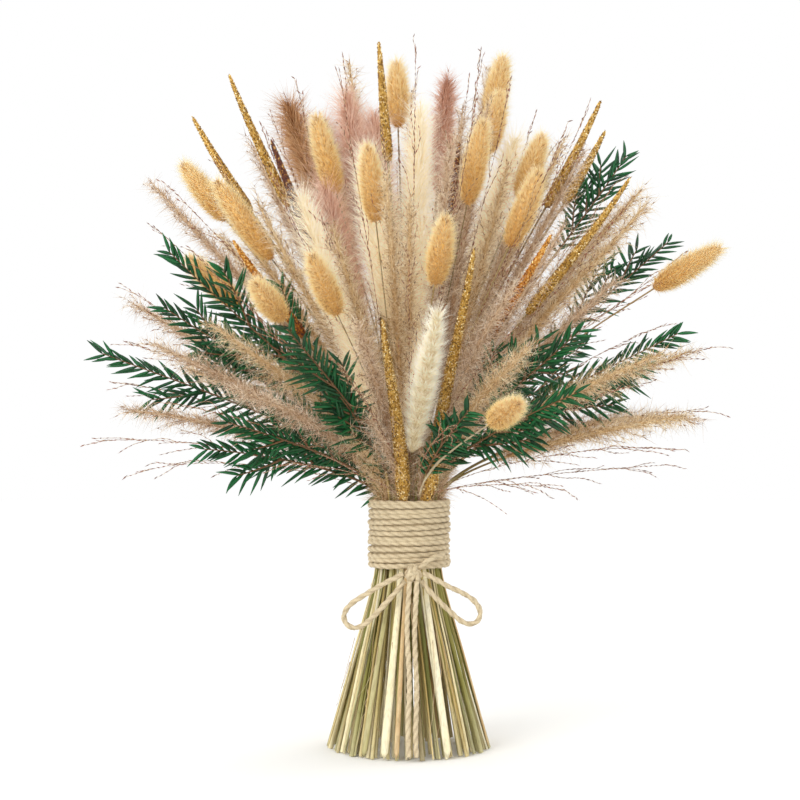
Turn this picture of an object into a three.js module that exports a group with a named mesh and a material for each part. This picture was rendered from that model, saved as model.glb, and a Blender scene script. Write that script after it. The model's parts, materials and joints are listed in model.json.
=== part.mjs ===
// A tied, standing bunch of dried grasses: bunny tails, gilded seed spikes, small pampas plumes, reed
// plumes and preserved leaf sprigs, bound at the waist with jute twine that ends in a bow. Below the
// twine the bare stems flare out to level-cut ends, which the bunch stands on.
// Millimetres, +Z up. The origin is the middle of the foot, on the surface. The bow is at -Y.
import * as THREE from "three";

// The tie: a band of twine turns around the waist.
const TIE_BOTTOM = 113;
const TIE_TOP = 156;
const TWINE_TURNS = 10;
const TWINE_CREST_RADIUS = 26;
const TWINE_VALLEY_RADIUS = 24.8;
const TIE_INNER_RADIUS = 21.8;
const TIE_SEGMENTS = 24;

// Stems stand in the tie in rings about a central one, a place every few millimetres.
const PLACES_PER_RING = [1, 6, 11, 16, 20];
const RING_PITCH = 4.8;
const FLARE = 2.6; // how much wider the stems stand at the foot than in the tie
const SPIRAL = THREE.MathUtils.degToRad(9); // how far they turn about the axis between tie and foot
const CUT_STEP = 1.3; // inner stems are cut this much shorter for each ring inwards

// How a stem leaves the tie: it rises this share of its height before it leans.
const LEAVE_LEAST = 4;
const LEAVE_SHARE = 0.3;
const ARCH_AT = 0.6; // how far along to the tip its arch is fullest

const STEM_SIDES = 6;
const STEM_STATIONS = 4; // between the tie and the head
const HEAD_STATIONS = 6;
const UP = new THREE.Vector3(0, 0, 1);

// The bow and its tails: one twine, of round section.
const TWINE_DIAMETER = 3.4;
const TWINE_SIDES = 8;
const TWINE_STEP = 2 * TWINE_DIAMETER;
const KNOT_CENTRE = [2.4, -31.9, 112.6];
const KNOT_RADII = [5.8, 4.6, 4.6];

// Each kind of stem: its radius, the radius of its head, where the head is widest (below 1 nearer its
// foot), how blunt the head is (lower is blunter), how far the stem arches up, and its colour.
const KINDS = {
  bunny_tail: { stem: 1.2, head: 8, swell: 0.9, blunt: 0.55, arch: 6, colour: 0xe3bf86 },
  gold_spike: { stem: 1.6, head: 3.2, swell: 0.5, blunt: 0.5, arch: 3, colour: 0xb98a2c },
  bronze_spike: { stem: 1.5, head: 3.4, swell: 0.5, blunt: 0.5, arch: 3, colour: 0x6b4530 },
  copper_spike: { stem: 1.5, head: 3.2, swell: 0.5, blunt: 0.5, arch: 3, colour: 0xa9672a },
  foxtail_plume: { stem: 1.8, head: 7, swell: 0.8, blunt: 0.6, arch: 3, colour: 0xf2ead6 },
  cream_plume: { stem: 2.1, head: 7, swell: 0.9, blunt: 0.8, arch: 4, colour: 0xf3e6cd },
  brown_plume: { stem: 1.9, head: 7, swell: 0.9, blunt: 0.8, arch: 4, colour: 0xa47a5b },
  mauve_plume: { stem: 1.9, head: 7, swell: 0.9, blunt: 0.8, arch: 4, colour: 0xb58f80 },
  leaf_sprig: { stem: 1.5, head: 4, swell: 0.7, blunt: 0.7, arch: 10, colour: 0x0d4a2a },
  reed_plume: { stem: 2.0, head: 4.5, swell: 0.8, blunt: 0.8, arch: 16, colour: 0xc0a98f },
};

// Every stem: its kind, where its tip ends, how long its head is, and its head radius or arch where
// that differs from its kind's.
const STEMS = [
  { kind: "bunny_tail", tip: [-58, -20, 394], head: 50 },
  { kind: "bunny_tail", tip: [-25, -55, 371], head: 47 },
  { kind: "bunny_tail", tip: [-8, 40, 438], head: 44 },
  { kind: "bunny_tail", tip: [62, 45, 442], head: 42 },
  { kind: "bunny_tail", tip: [58, 5, 412], head: 40 },
  { kind: "bunny_tail", tip: [45, -40, 388], head: 52 },
  { kind: "bunny_tail", tip: [84, -5, 384], head: 43 },
  { kind: "bunny_tail", tip: [79, -45, 357], head: 50 },
  { kind: "bunny_tail", tip: [21, -92, 324], head: 44 },
  { kind: "bunny_tail", tip: [194, -15, 313], head: 49, arch: 20 },
  { kind: "bunny_tail", tip: [62, -121, 216], head: 32 },
  { kind: "bunny_tail", tip: [-90, -95, 286], head: 30 },
  { kind: "bunny_tail", tip: [-57, -98, 302], head: 43 },
  { kind: "bunny_tail", tip: [-119, -30, 353], head: 60, arch: 12 },
  { kind: "bunny_tail", tip: [-147, 40, 372], head: 48, arch: 14 },
  { kind: "bunny_tail", tip: [-137, -20, 306], head: 44, arch: 12 },
  { kind: "bunny_tail", tip: [32, 100, 361], head: 46 },
  { kind: "bunny_tail", tip: [-47, 115, 322], head: 46 },
  { kind: "gold_spike", tip: [-115, 15, 426], head: 88 },
  { kind: "gold_spike", tip: [-142, 50, 404], head: 70 },
  { kind: "gold_spike", tip: [-19, -5, 443], head: 70 },
  { kind: "gold_spike", tip: [123, 20, 410], head: 72 },
  { kind: "gold_spike", tip: [130, 58, 396], head: 52 },
  { kind: "gold_spike", tip: [136, -30, 355], head: 100 },
  { kind: "gold_spike", tip: [37, -108, 305], head: 150, thick: 4.2 },
  { kind: "gold_spike", tip: [-16, -104, 265], head: 105, thick: 4.2 },
  { kind: "bronze_spike", tip: [-84, -45, 376], head: 78 },
  { kind: "bronze_spike", tip: [31, -25, 377], head: 90 },
  { kind: "copper_spike", tip: [83, -85, 315], head: 75 },
  { kind: "copper_spike", tip: [-105, -70, 313], head: 68 },
  { kind: "foxtail_plume", tip: [16, -100, 268], head: 92 },
  { kind: "cream_plume", tip: [7, 0, 401], head: 130 },
  { kind: "cream_plume", tip: [-27, -25, 372], head: 95 },
  { kind: "cream_plume", tip: [68, 20, 385], head: 100 },
  { kind: "brown_plume", tip: [-78, 25, 409], head: 60 },
  { kind: "mauve_plume", tip: [-40, 20, 413], head: 70 },
  { kind: "mauve_plume", tip: [25, 30, 425], head: 60 },
  { kind: "leaf_sprig", tip: [-197, -10, 249], head: 160 },
  { kind: "leaf_sprig", tip: [-156, -20, 278], head: 90 },
  { kind: "leaf_sprig", tip: [-73, -110, 262], head: 110 },
  { kind: "leaf_sprig", tip: [-128, -60, 189], head: 110 },
  { kind: "leaf_sprig", tip: [172, 35, 324], head: 100 },
  { kind: "leaf_sprig", tip: [169, -35, 261], head: 130 },
  { kind: "leaf_sprig", tip: [147, 62, 384], head: 80 },
  { kind: "leaf_sprig", tip: [101, -95, 224], head: 65 },
  { kind: "leaf_sprig", tip: [-110, 120, 266], head: 110 },
  { kind: "leaf_sprig", tip: [126, 118, 259], head: 110 },
  { kind: "reed_plume", tip: [0, -75, 336], head: 140 },
  { kind: "reed_plume", tip: [-175, -25, 212], head: 140 },
  { kind: "reed_plume", tip: [-101, -98, 224], head: 110 },
  { kind: "reed_plume", tip: [146, 0, 350], head: 110 },
  { kind: "reed_plume", tip: [177, -20, 206], head: 130, arch: 30 },
  { kind: "reed_plume", tip: [61, -90, 285], head: 110 },
  { kind: "reed_plume", tip: [8, 124, 287], head: 120 },
];

// The routes of the free twine, from the knot: two loops that come back to it and two cut tails that
// lie down the front of the flared stems to the surface.
const TWINE_ROUTES = {
  bow_loop_left: [
    [-3.8, -32.6, 111.2], [-8.7, -33.4, 109.0], [-14, -33.8, 106.4], [-19.1, -33.6, 103.6],
    [-24.6, -33.0, 100.2], [-30, -32.0, 96.9], [-35, -30.6, 93.4], [-38.8, -29.2, 89.2],
    [-40.2, -28.2, 84.6], [-38.6, -27.8, 80.2], [-34.4, -28.2, 77.9], [-29.4, -29.0, 79.0],
    [-25, -29.8, 82.2], [-20.4, -30.4, 86.8], [-15.4, -30.8, 92.2], [-10.4, -31.0, 97.8],
    [-6.2, -31.0, 102.6], [-2.8, -30.6, 107.0],
  ],
  bow_loop_right: [
    [8.6, -32.6, 112.0], [13.2, -33.4, 109.8], [18.2, -33.8, 107.0], [23.8, -33.6, 103.9],
    [29.6, -32.9, 101.2], [35.2, -31.8, 98.2], [39.8, -30.4, 94.6], [42.8, -29.2, 90.2],
    [43.6, -28.2, 85.6], [41.4, -27.8, 81.5], [36.9, -28.2, 80.2], [31.8, -29.0, 82.2],
    [26.8, -29.8, 86.4], [21.4, -30.4, 91.4], [16.0, -30.8, 96.8], [11.0, -31.0, 102.2],
    [7.4, -30.6, 107.0],
  ],
  twine_tail_left: [
    [0.2, -34.6, 107.0], [-0.2, -35.1, 101], [-0.7, -35.2, 94], [-1.1, -35.2, 87],
    [-1.3, -35.5, 80], [-1.2, -36.3, 73], [-0.9, -37.5, 66], [-0.5, -39.1, 59],
    [-0.2, -40.8, 52], [0, -42.6, 45], [-0.1, -44.5, 38], [-0.4, -46.4, 31],
    [-0.7, -48.4, 24], [-0.8, -50.4, 17], [-0.6, -52.4, 10], [-0.2, -54.4, 3],
  ],
  twine_tail_right: [
    [4.6, -34.6, 107.0], [4.3, -35.1, 101], [3.9, -35.2, 94], [3.6, -35.2, 87],
    [3.3, -35.5, 80], [3.2, -36.3, 73], [3.4, -37.5, 66], [3.7, -39.1, 59],
    [4.1, -40.8, 52], [4.4, -42.6, 45], [4.4, -44.5, 38], [4.2, -46.4, 31],
    [3.9, -48.4, 24], [3.7, -50.4, 17], [3.8, -52.4, 10], [4.2, -54.4, 3],
  ],
};

const bunch = new THREE.Group();

function addPiece(name, geometry, colour, roughness, metalness = 0) {
  const material = new THREE.MeshStandardMaterial({ color: colour, roughness, metalness });
  const mesh = new THREE.Mesh(geometry, material);
  mesh.name = name;
  bunch.add(mesh);
}

// The places in the tie, ring by ring from the middle out.
function tiePlaces() {
  return PLACES_PER_RING.flatMap((count, ring) =>
    Array.from({ length: count }, (_, i) => {
      const turn = ((i + ring / 2) / count) * 2 * Math.PI;
      return {
        ring,
        at: new THREE.Vector2(Math.cos(turn), Math.sin(turn)).multiplyScalar(ring * RING_PITCH),
      };
    }),
  );
}

// Where in the tie each stem would rather be: on the side it leans to, and further out the more it
// leans, with the stems spread evenly over the whole tie.
function wishedPlaces(tips) {
  const lean = (tip) => Math.atan2(Math.hypot(tip.x, tip.y), tip.z - TIE_TOP);
  const order = tips.map((_, i) => i).sort((a, b) => lean(tips[a]) - lean(tips[b]));
  const tieRadius = RING_PITCH * (PLACES_PER_RING.length - 1);
  const wishes = [];
  order.forEach((stem, rank) => {
    const out = tieRadius * Math.sqrt((rank + 0.5) / tips.length);
    wishes[stem] = new THREE.Vector2(tips[stem].x, tips[stem].y).setLength(out);
  });
  return wishes;
}

// Gives each stem a place. Stems trade places until no trade brings a pair nearer to what they wish
// for, which leaves no two of them crossing above the tie.
function sharePlaces(tips) {
  const wishes = wishedPlaces(tips);
  const places = tiePlaces();
  const cost = (stem, place) => wishes[stem].distanceToSquared(places[place].at);
  const given = tips.map((_, i) => i);
  for (let traded = true; traded; ) {
    traded = false;
    for (let a = 0; a < given.length; a++)
      for (let b = a + 1; b < given.length; b++) {
        const now = cost(a, given[a]) + cost(b, given[b]);
        const then = cost(a, given[b]) + cost(b, given[a]);
        if (then < now - 1e-9) {
          [given[a], given[b]] = [given[b], given[a]];
          traded = true;
        }
      }
  }
  return given.map((place) => places[place]);
}

// The line a stem follows: up from its cut end to the tie, through it, and out to its tip.
function stemLine(place, tip, arch) {
  const outermost = PLACES_PER_RING.length - 1;
  const footAt = place.at.clone().multiplyScalar(FLARE).rotateAround(new THREE.Vector2(), SPIRAL);
  const foot = new THREE.Vector3(footAt.x, footAt.y, (outermost - place.ring) * CUT_STEP);
  const waist = new THREE.Vector3(place.at.x, place.at.y, TIE_BOTTOM);
  const leave = new THREE.Vector3(place.at.x, place.at.y, TIE_TOP);
  const rise = LEAVE_LEAST + LEAVE_SHARE * Math.max(0, tip.z - TIE_TOP);
  const line = new THREE.CurvePath();
  line.add(new THREE.LineCurve3(foot, waist));
  line.add(new THREE.LineCurve3(waist, leave));
  line.add(
    new THREE.CubicBezierCurve3(
      leave,
      leave.clone().addScaledVector(UP, rise),
      leave.clone().lerp(tip, ARCH_AT).addScaledVector(UP, arch),
      tip,
    ),
  );
  return line;
}

// The radius of a head at a share of its length, from its foot at 0 to its tip at 1.
function headRadius(share, { swell, blunt }, stem, head) {
  const full = Math.sin(Math.PI * share ** swell) ** blunt;
  return Math.max(stem * (1 - share), head * full);
}

// A stem and its head in one piece: a turned solid whose straight axis is then laid along the line.
function stemGeometry(line, kind, headLength, headThickness) {
  const lengths = line.getCurveLengths();
  const [atWaist, atTop, atTip] = lengths;
  const headFrom = atTip - headLength;
  const profile = [
    new THREE.Vector2(0, 0),
    new THREE.Vector2(kind.stem, 0),
    new THREE.Vector2(kind.stem, atWaist),
  ];
  for (let i = 0; i <= STEM_STATIONS; i++)
    profile.push(new THREE.Vector2(kind.stem, THREE.MathUtils.lerp(atTop, headFrom, i / STEM_STATIONS)));
  for (let i = 1; i < HEAD_STATIONS; i++) {
    const share = i / HEAD_STATIONS;
    const radius = headRadius(share, kind, kind.stem, headThickness);
    profile.push(new THREE.Vector2(radius, headFrom + share * headLength));
  }
  profile.push(new THREE.Vector2(0, atTip));

  const geometry = new THREE.LatheGeometry(profile, STEM_SIDES);
  const points = geometry.getAttribute("position");
  const turn = new THREE.Quaternion();
  const point = new THREE.Vector3();
  for (let i = 0; i < points.count; i++) {
    const along = Math.min(points.getY(i) / atTip, 1);
    const centre = line.getPoint(along);
    const heading = points.getY(i) > atTop ? line.getTangent(along) : UP;
    turn.setFromUnitVectors(UP, heading);
    point.set(points.getX(i), -points.getZ(i), 0).applyQuaternion(turn).add(centre);
    points.setXYZ(i, point.x, point.y, point.z);
  }
  geometry.computeVertexNormals();
  return geometry;
}

function addStems() {
  const tips = STEMS.map(({ tip }) => new THREE.Vector3(...tip));
  const places = sharePlaces(tips);
  const total = (kind) => STEMS.filter((stem) => stem.kind === kind).length;
  const made = {};
  STEMS.forEach((stem, i) => {
    const kind = KINDS[stem.kind];
    made[stem.kind] = (made[stem.kind] ?? 0) + 1;
    const name = total(stem.kind) > 1 ? `${stem.kind}_${made[stem.kind]}` : stem.kind;
    const line = stemLine(places[i], tips[i], stem.arch ?? kind.arch);
    const geometry = stemGeometry(line, kind, stem.head, stem.thick ?? kind.head);
    const gilded = stem.kind.endsWith("spike");
    addPiece(name, geometry, kind.colour, gilded ? 0.4 : 0.9, gilded ? 0.5 : 0);
  });
}

// The twine around the waist: one ring whose outside bulges once for each turn.
function tieGeometry() {
  const pitch = (TIE_TOP - TIE_BOTTOM) / TWINE_TURNS;
  const profile = [new THREE.Vector2(TIE_INNER_RADIUS, TIE_BOTTOM)];
  for (let turn = 0; turn < TWINE_TURNS; turn++) {
    profile.push(new THREE.Vector2(TWINE_VALLEY_RADIUS, TIE_BOTTOM + turn * pitch));
    profile.push(new THREE.Vector2(TWINE_CREST_RADIUS, TIE_BOTTOM + (turn + 0.5) * pitch));
  }
  profile.push(new THREE.Vector2(TWINE_VALLEY_RADIUS, TIE_TOP));
  profile.push(new THREE.Vector2(TIE_INNER_RADIUS, TIE_TOP));
  profile.push(profile[0].clone());
  return new THREE.LatheGeometry(profile, TIE_SEGMENTS).rotateX(Math.PI / 2);
}

function twineGeometry(route) {
  const path = new THREE.CatmullRomCurve3(route.map((p) => new THREE.Vector3(...p)));
  const section = new THREE.Shape();
  for (let i = 0; i < TWINE_SIDES; i++) {
    const turn = (i / TWINE_SIDES) * 2 * Math.PI;
    const corner = [Math.cos(turn), Math.sin(turn)].map((c) => (c * TWINE_DIAMETER) / 2);
    if (i === 0) section.moveTo(...corner);
    else section.lineTo(...corner);
  }
  section.closePath();
  return new THREE.ExtrudeGeometry(section, {
    steps: Math.round(path.getLength() / TWINE_STEP),
    extrudePath: path,
    bevelEnabled: false,
  });
}

function addTwine() {
  const jute = 0xcdb98f;
  addPiece("twine_wrap", tieGeometry(), jute, 0.95);
  const knot = new THREE.SphereGeometry(1, 10, 7).scale(...KNOT_RADII).translate(...KNOT_CENTRE);
  addPiece("twine_knot", knot, jute, 0.95);
  for (const [name, route] of Object.entries(TWINE_ROUTES))
    addPiece(name, twineGeometry(route), jute, 0.95);
}

addStems();
addTwine();

export default bunch;
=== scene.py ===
import json
import math

import bmesh
import bpy
import numpy as np
from bpy.props import FloatProperty, FloatVectorProperty, IntProperty, PointerProperty
from mathutils import Vector
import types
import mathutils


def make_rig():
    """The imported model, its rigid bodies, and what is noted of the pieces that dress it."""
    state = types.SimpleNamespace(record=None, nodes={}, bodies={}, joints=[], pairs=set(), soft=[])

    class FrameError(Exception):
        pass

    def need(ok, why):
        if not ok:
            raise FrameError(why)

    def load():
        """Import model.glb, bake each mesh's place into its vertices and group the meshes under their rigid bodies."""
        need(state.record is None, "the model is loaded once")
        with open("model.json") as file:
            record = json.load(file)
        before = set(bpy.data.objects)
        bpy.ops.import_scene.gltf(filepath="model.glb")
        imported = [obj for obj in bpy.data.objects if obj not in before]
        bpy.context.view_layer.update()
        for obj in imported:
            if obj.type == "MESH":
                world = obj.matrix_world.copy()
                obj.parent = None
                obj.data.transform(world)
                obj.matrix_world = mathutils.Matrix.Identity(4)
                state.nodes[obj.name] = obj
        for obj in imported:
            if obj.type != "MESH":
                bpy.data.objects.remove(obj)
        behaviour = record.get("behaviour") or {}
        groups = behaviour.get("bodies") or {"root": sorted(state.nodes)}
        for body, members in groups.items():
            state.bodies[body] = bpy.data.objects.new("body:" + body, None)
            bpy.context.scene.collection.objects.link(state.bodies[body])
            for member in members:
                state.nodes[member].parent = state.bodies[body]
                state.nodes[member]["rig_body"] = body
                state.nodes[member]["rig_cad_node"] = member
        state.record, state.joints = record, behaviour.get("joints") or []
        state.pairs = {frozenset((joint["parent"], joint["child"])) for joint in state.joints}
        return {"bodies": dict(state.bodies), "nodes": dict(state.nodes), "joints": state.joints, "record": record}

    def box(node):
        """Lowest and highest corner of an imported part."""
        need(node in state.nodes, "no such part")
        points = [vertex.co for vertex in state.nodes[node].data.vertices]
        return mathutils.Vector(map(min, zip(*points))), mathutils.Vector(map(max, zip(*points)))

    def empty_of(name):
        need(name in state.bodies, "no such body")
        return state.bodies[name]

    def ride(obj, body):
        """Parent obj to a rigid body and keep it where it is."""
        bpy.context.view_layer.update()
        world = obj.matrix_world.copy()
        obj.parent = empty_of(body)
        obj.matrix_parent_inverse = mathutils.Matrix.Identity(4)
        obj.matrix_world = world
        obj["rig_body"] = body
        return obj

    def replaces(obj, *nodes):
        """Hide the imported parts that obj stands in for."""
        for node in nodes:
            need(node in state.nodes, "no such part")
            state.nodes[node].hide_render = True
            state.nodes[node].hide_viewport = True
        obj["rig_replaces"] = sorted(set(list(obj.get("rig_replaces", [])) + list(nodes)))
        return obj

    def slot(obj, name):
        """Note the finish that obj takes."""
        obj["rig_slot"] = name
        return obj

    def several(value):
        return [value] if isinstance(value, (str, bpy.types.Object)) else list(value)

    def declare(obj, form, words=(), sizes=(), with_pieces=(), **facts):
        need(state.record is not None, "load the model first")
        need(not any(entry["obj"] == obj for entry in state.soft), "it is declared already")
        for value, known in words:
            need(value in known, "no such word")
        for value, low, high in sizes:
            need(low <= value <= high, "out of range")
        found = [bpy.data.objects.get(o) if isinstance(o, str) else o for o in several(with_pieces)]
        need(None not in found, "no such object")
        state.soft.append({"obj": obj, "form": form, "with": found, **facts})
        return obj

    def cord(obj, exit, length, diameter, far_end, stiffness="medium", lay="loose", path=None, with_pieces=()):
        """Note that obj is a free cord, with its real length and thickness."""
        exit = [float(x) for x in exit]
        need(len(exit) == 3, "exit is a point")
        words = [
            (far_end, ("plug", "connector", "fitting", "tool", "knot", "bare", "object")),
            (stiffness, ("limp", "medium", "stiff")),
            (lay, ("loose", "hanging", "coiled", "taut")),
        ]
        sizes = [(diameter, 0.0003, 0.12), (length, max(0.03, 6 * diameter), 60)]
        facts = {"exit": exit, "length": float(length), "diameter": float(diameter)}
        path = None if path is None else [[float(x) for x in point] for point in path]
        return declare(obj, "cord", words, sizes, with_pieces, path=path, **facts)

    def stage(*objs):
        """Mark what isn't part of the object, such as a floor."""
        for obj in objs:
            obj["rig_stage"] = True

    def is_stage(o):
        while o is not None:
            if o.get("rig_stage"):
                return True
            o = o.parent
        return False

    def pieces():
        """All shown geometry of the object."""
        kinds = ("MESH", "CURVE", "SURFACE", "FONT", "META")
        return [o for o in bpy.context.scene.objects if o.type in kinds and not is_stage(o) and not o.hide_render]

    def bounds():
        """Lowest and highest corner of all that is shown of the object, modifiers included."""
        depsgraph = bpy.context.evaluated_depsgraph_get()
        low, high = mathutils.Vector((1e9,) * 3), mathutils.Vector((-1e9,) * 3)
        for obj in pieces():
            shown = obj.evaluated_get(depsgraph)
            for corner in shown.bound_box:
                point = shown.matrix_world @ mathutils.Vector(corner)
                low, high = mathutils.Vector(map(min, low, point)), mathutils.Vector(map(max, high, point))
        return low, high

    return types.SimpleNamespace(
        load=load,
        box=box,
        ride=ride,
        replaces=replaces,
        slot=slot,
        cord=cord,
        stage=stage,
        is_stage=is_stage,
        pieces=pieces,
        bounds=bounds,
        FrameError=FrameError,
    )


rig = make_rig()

bl_info = {
    "name": "Tied bunch of dried grasses",
    "version": (1, 0, 0),
    "blender": (4, 5, 0),
    "location": "3D View > Sidebar > Dried bunch",
    "description": "Grows the hair, seed, leaves and twine of a tied, standing bunch on its packed frame",
    "category": "Object",
}

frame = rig.load()
CAD_LOW, CAD_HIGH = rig.bounds()
NODES = frame["nodes"]
MM = 0.001
GOLDEN = math.pi * (3 - math.sqrt(5))  # the turn from one plant or branch to the next

TIE_LOW, TIE_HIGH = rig.box("twine_wrap")
TIE_BOTTOM, TIE_TOP = TIE_LOW.z, TIE_HIGH.z
TIE_RADIUS = TIE_HIGH.x
TIE_MIDDLE = np.array([0, 0, (TIE_BOTTOM + TIE_TOP) / 2])
FOOT_RADIUS = 50 * MM  # the outermost cut ends stand on this circle
FLOOR_GAP = 0.4 * MM  # from the floor to the cut ends of the stems that only show
HEAD_FROM = 6  # a packed stem's ring at which its head begins, counted from its foot

# The free twine's routes, from the knot, in millimetres: two loops that go back to it and two cut tails.
TWINE_DIAMETER = 3.4 * MM
TWINE_ROUTES = {
    "bow_loop_left": [
        (-3.8, -32.6, 111.2), (-8.7, -33.4, 109.0), (-14, -33.8, 106.4), (-19.1, -33.6, 103.6),
        (-24.6, -33.0, 100.2), (-30, -32.0, 96.9), (-35, -30.6, 93.4), (-38.8, -29.2, 89.2),
        (-40.2, -28.2, 84.6), (-38.6, -27.8, 80.2), (-34.4, -28.2, 77.9), (-29.4, -29.0, 79.0),
        (-25, -29.8, 82.2), (-20.4, -30.4, 86.8), (-15.4, -30.8, 92.2), (-10.4, -31.0, 97.8),
        (-6.2, -31.0, 102.6), (-2.8, -30.6, 107.0),
    ],
    "bow_loop_right": [
        (8.6, -32.6, 112.0), (13.2, -33.4, 109.8), (18.2, -33.8, 107.0), (23.8, -33.6, 103.9),
        (29.6, -32.9, 101.2), (35.2, -31.8, 98.2), (39.8, -30.4, 94.6), (42.8, -29.2, 90.2),
        (43.6, -28.2, 85.6), (41.4, -27.8, 81.5), (36.9, -28.2, 80.2), (31.8, -29.0, 82.2),
        (26.8, -29.8, 86.4), (21.4, -30.4, 91.4), (16.0, -30.8, 96.8), (11.0, -31.0, 102.2),
        (7.4, -30.6, 107.0),
    ],
    "twine_tail_left": [
        (0.2, -34.6, 107.0), (-0.2, -35.1, 101), (-0.7, -35.2, 94), (-1.1, -35.2, 87),
        (-1.3, -35.5, 80), (-1.2, -36.3, 73), (-0.9, -37.5, 66), (-0.5, -39.1, 59),
        (-0.2, -40.8, 52), (0, -42.6, 45), (-0.1, -44.5, 38), (-0.4, -46.4, 31),
        (-0.7, -48.4, 24), (-0.8, -50.4, 17), (-0.6, -52.4, 10), (-0.2, -54.4, 3),
    ],
    "twine_tail_right": [
        (4.6, -34.6, 107.0), (4.3, -35.1, 101), (3.9, -35.2, 94), (3.6, -35.2, 87),
        (3.3, -35.5, 80), (3.2, -36.3, 73), (3.4, -37.5, 66), (3.7, -39.1, 59),
        (4.1, -40.8, 52), (4.4, -42.6, 45), (4.4, -44.5, 38), (4.2, -46.4, 31),
        (3.9, -48.4, 24), (3.7, -50.4, 17), (3.8, -52.4, 10), (4.2, -54.4, 3),
    ],
}

# Stems that only show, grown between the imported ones: where each tip ends, mm.
FILLING_REEDS = [
    (-168, 40, 360), (-39, 55, 440), (-182, 45, 282), (184, 45, 250), (54, 60, 438), (-45, -84, 318),
    (92, -62, 322), (-92, -52, 338), (48, -28, 400), (-52, 12, 392), (112, 18, 378), (2, 70, 424),
    (-104, 62, 388), (104, 72, 392), (-154, -66, 252), (150, -76, 246), (-30, -100, 262), (70, -98, 250),
    (-60, 112, 350), (62, 108, 356), (0, 118, 380), (-128, 92, 330), (132, 90, 322), (-150, 78, 240),
    (152, 76, 236), (-14, -70, 352), (124, -56, 290), (-116, -80, 262), (24, -60, 372), (148, -20, 340),
    (84, 8, 380), (62, -8, 366), (34, 4, 404), (-118, -12, 345), (126, -10, 338), (166, -48, 208),
]
FILLING_CREAM = [(-66, -45, 342), (30, 60, 392), (-10, 96, 352), (8, -38, 330)]
FILLING_MAUVE = [(-56, 22, 396), (-22, 18, 400), (-52, -16, 352)]
FILLING_SPRIGS = [
    (-150, -40, 312), (36, -92, 214), (-50, -72, 232), (-30, 118, 250), (60, 122, 236), (-112, -74, 206),
    (104, -74, 262),
]
# Broad flat straws over the outside of the foot: where the cut end and the waist are and half the width, all
# in mm, and the tone.
BROAD_STRAWS = [
    ((-15.5, -50.5), (-5, -21), 2.5, 0.82), ((23.5, -46.5), (9, -19.4), 2.3, 0.84),
    ((36.5, -37), (14, -16.5), 2.0, 0.74), ((-8, -52), (-2, -21), 1.6, 0.6),
    ((-28, -44), (-11, -18), 1.8, 0.2), ((-40, -33), (-15, -15), 1.7, 0.1),
    ((50, -12), (20, -6), 1.9, 0.6), ((-50, 9), (-21, 4), 1.9, 0.72),
    ((-24, 46), (-9, 19), 2.3, 0.8), ((14, 50), (5, 20.5), 2.1, 0.3),
    ((40, 33), (16, 14), 2.0, 0.82), ((-51, -12), (-20, -6), 1.6, 0.5),
]
STRAY_FIBRES = 18  # thin bent fibres that hang over the foot
COLLAR_REEDS = 15  # short reeds all round, just above the tie
# The shortest reeds, close over the tie in front, mm.
FRONT_REEDS = [
    (-38, -44, 196), (-24, -52, 206), (-8, -34, 226), (12, -36, 222), (34, -46, 200), (46, -36, 216),
    (-52, -34, 214),
]
HEAD_SHARE = 0.74  # of a filling stem above the tie, the part its head takes
LOW_HEAD_SHARE = 1.04  # the same for the short reeds, whose heads start just inside the tie
FILLING_RADII = {"cream": 1.6 * MM, "mauve": 1.5 * MM, "reed": 1.3 * MM, "sprig": 1.2 * MM}  # of their stems
MAUVE_HEAD = 78 * MM  # length of a filling mauve plume's head

VIEW_WIDTH = 504 * MM  # what the camera sees across the middle of the bunch
VIEW_ACROSS, VIEW_UP = -5.7 * MM, 218 * MM  # where it looks
SENSOR_WIDTH = 36.0  # mm
LAMP_AIM = (0, 0, 240 * MM)  # the point that the lamps face
FLOOR_RADIUS = 3.0

SPIKELET_TONE = 0.9  # tones from here up are the spikelets' own colours
STALK_TONE = 0.95  # the tone of a leaf sprig's brown stalk; its leaves stay under 0.8
MAP_EDGE = 0.01  # clear edge of a piece's map
MAP_HAIR = 0.8  # share of its width that strands take, by tone
MAP_SPREAD = 0.005  # how far corners stand apart on it, so that each face has width


# ---- arithmetic on node sockets ----

def arithmetic(operation, turned=False):
    """A Python operator that adds a maths node. turned is its reflected form, as in 1 - mask."""
    def apply(self, other):
        return self.graph.math(operation, *((other, self) if turned else (self, other)))
    return apply


class Value:
    """A socket of a node tree that Python's operators work on."""

    def __init__(self, graph, socket):
        self.graph, self.socket = graph, socket

    def of(self, name):
        """Another output of the same node."""
        return Value(self.graph, self.graph.pick(self.socket.node.outputs, name))

    __add__, __radd__ = arithmetic("ADD"), arithmetic("ADD", True)
    __sub__, __rsub__ = arithmetic("SUBTRACT"), arithmetic("SUBTRACT", True)
    __mul__, __rmul__ = arithmetic("MULTIPLY"), arithmetic("MULTIPLY", True)
    __truediv__, __pow__, __mod__ = arithmetic("DIVIDE"), arithmetic("POWER"), arithmetic("MODULO")


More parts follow.
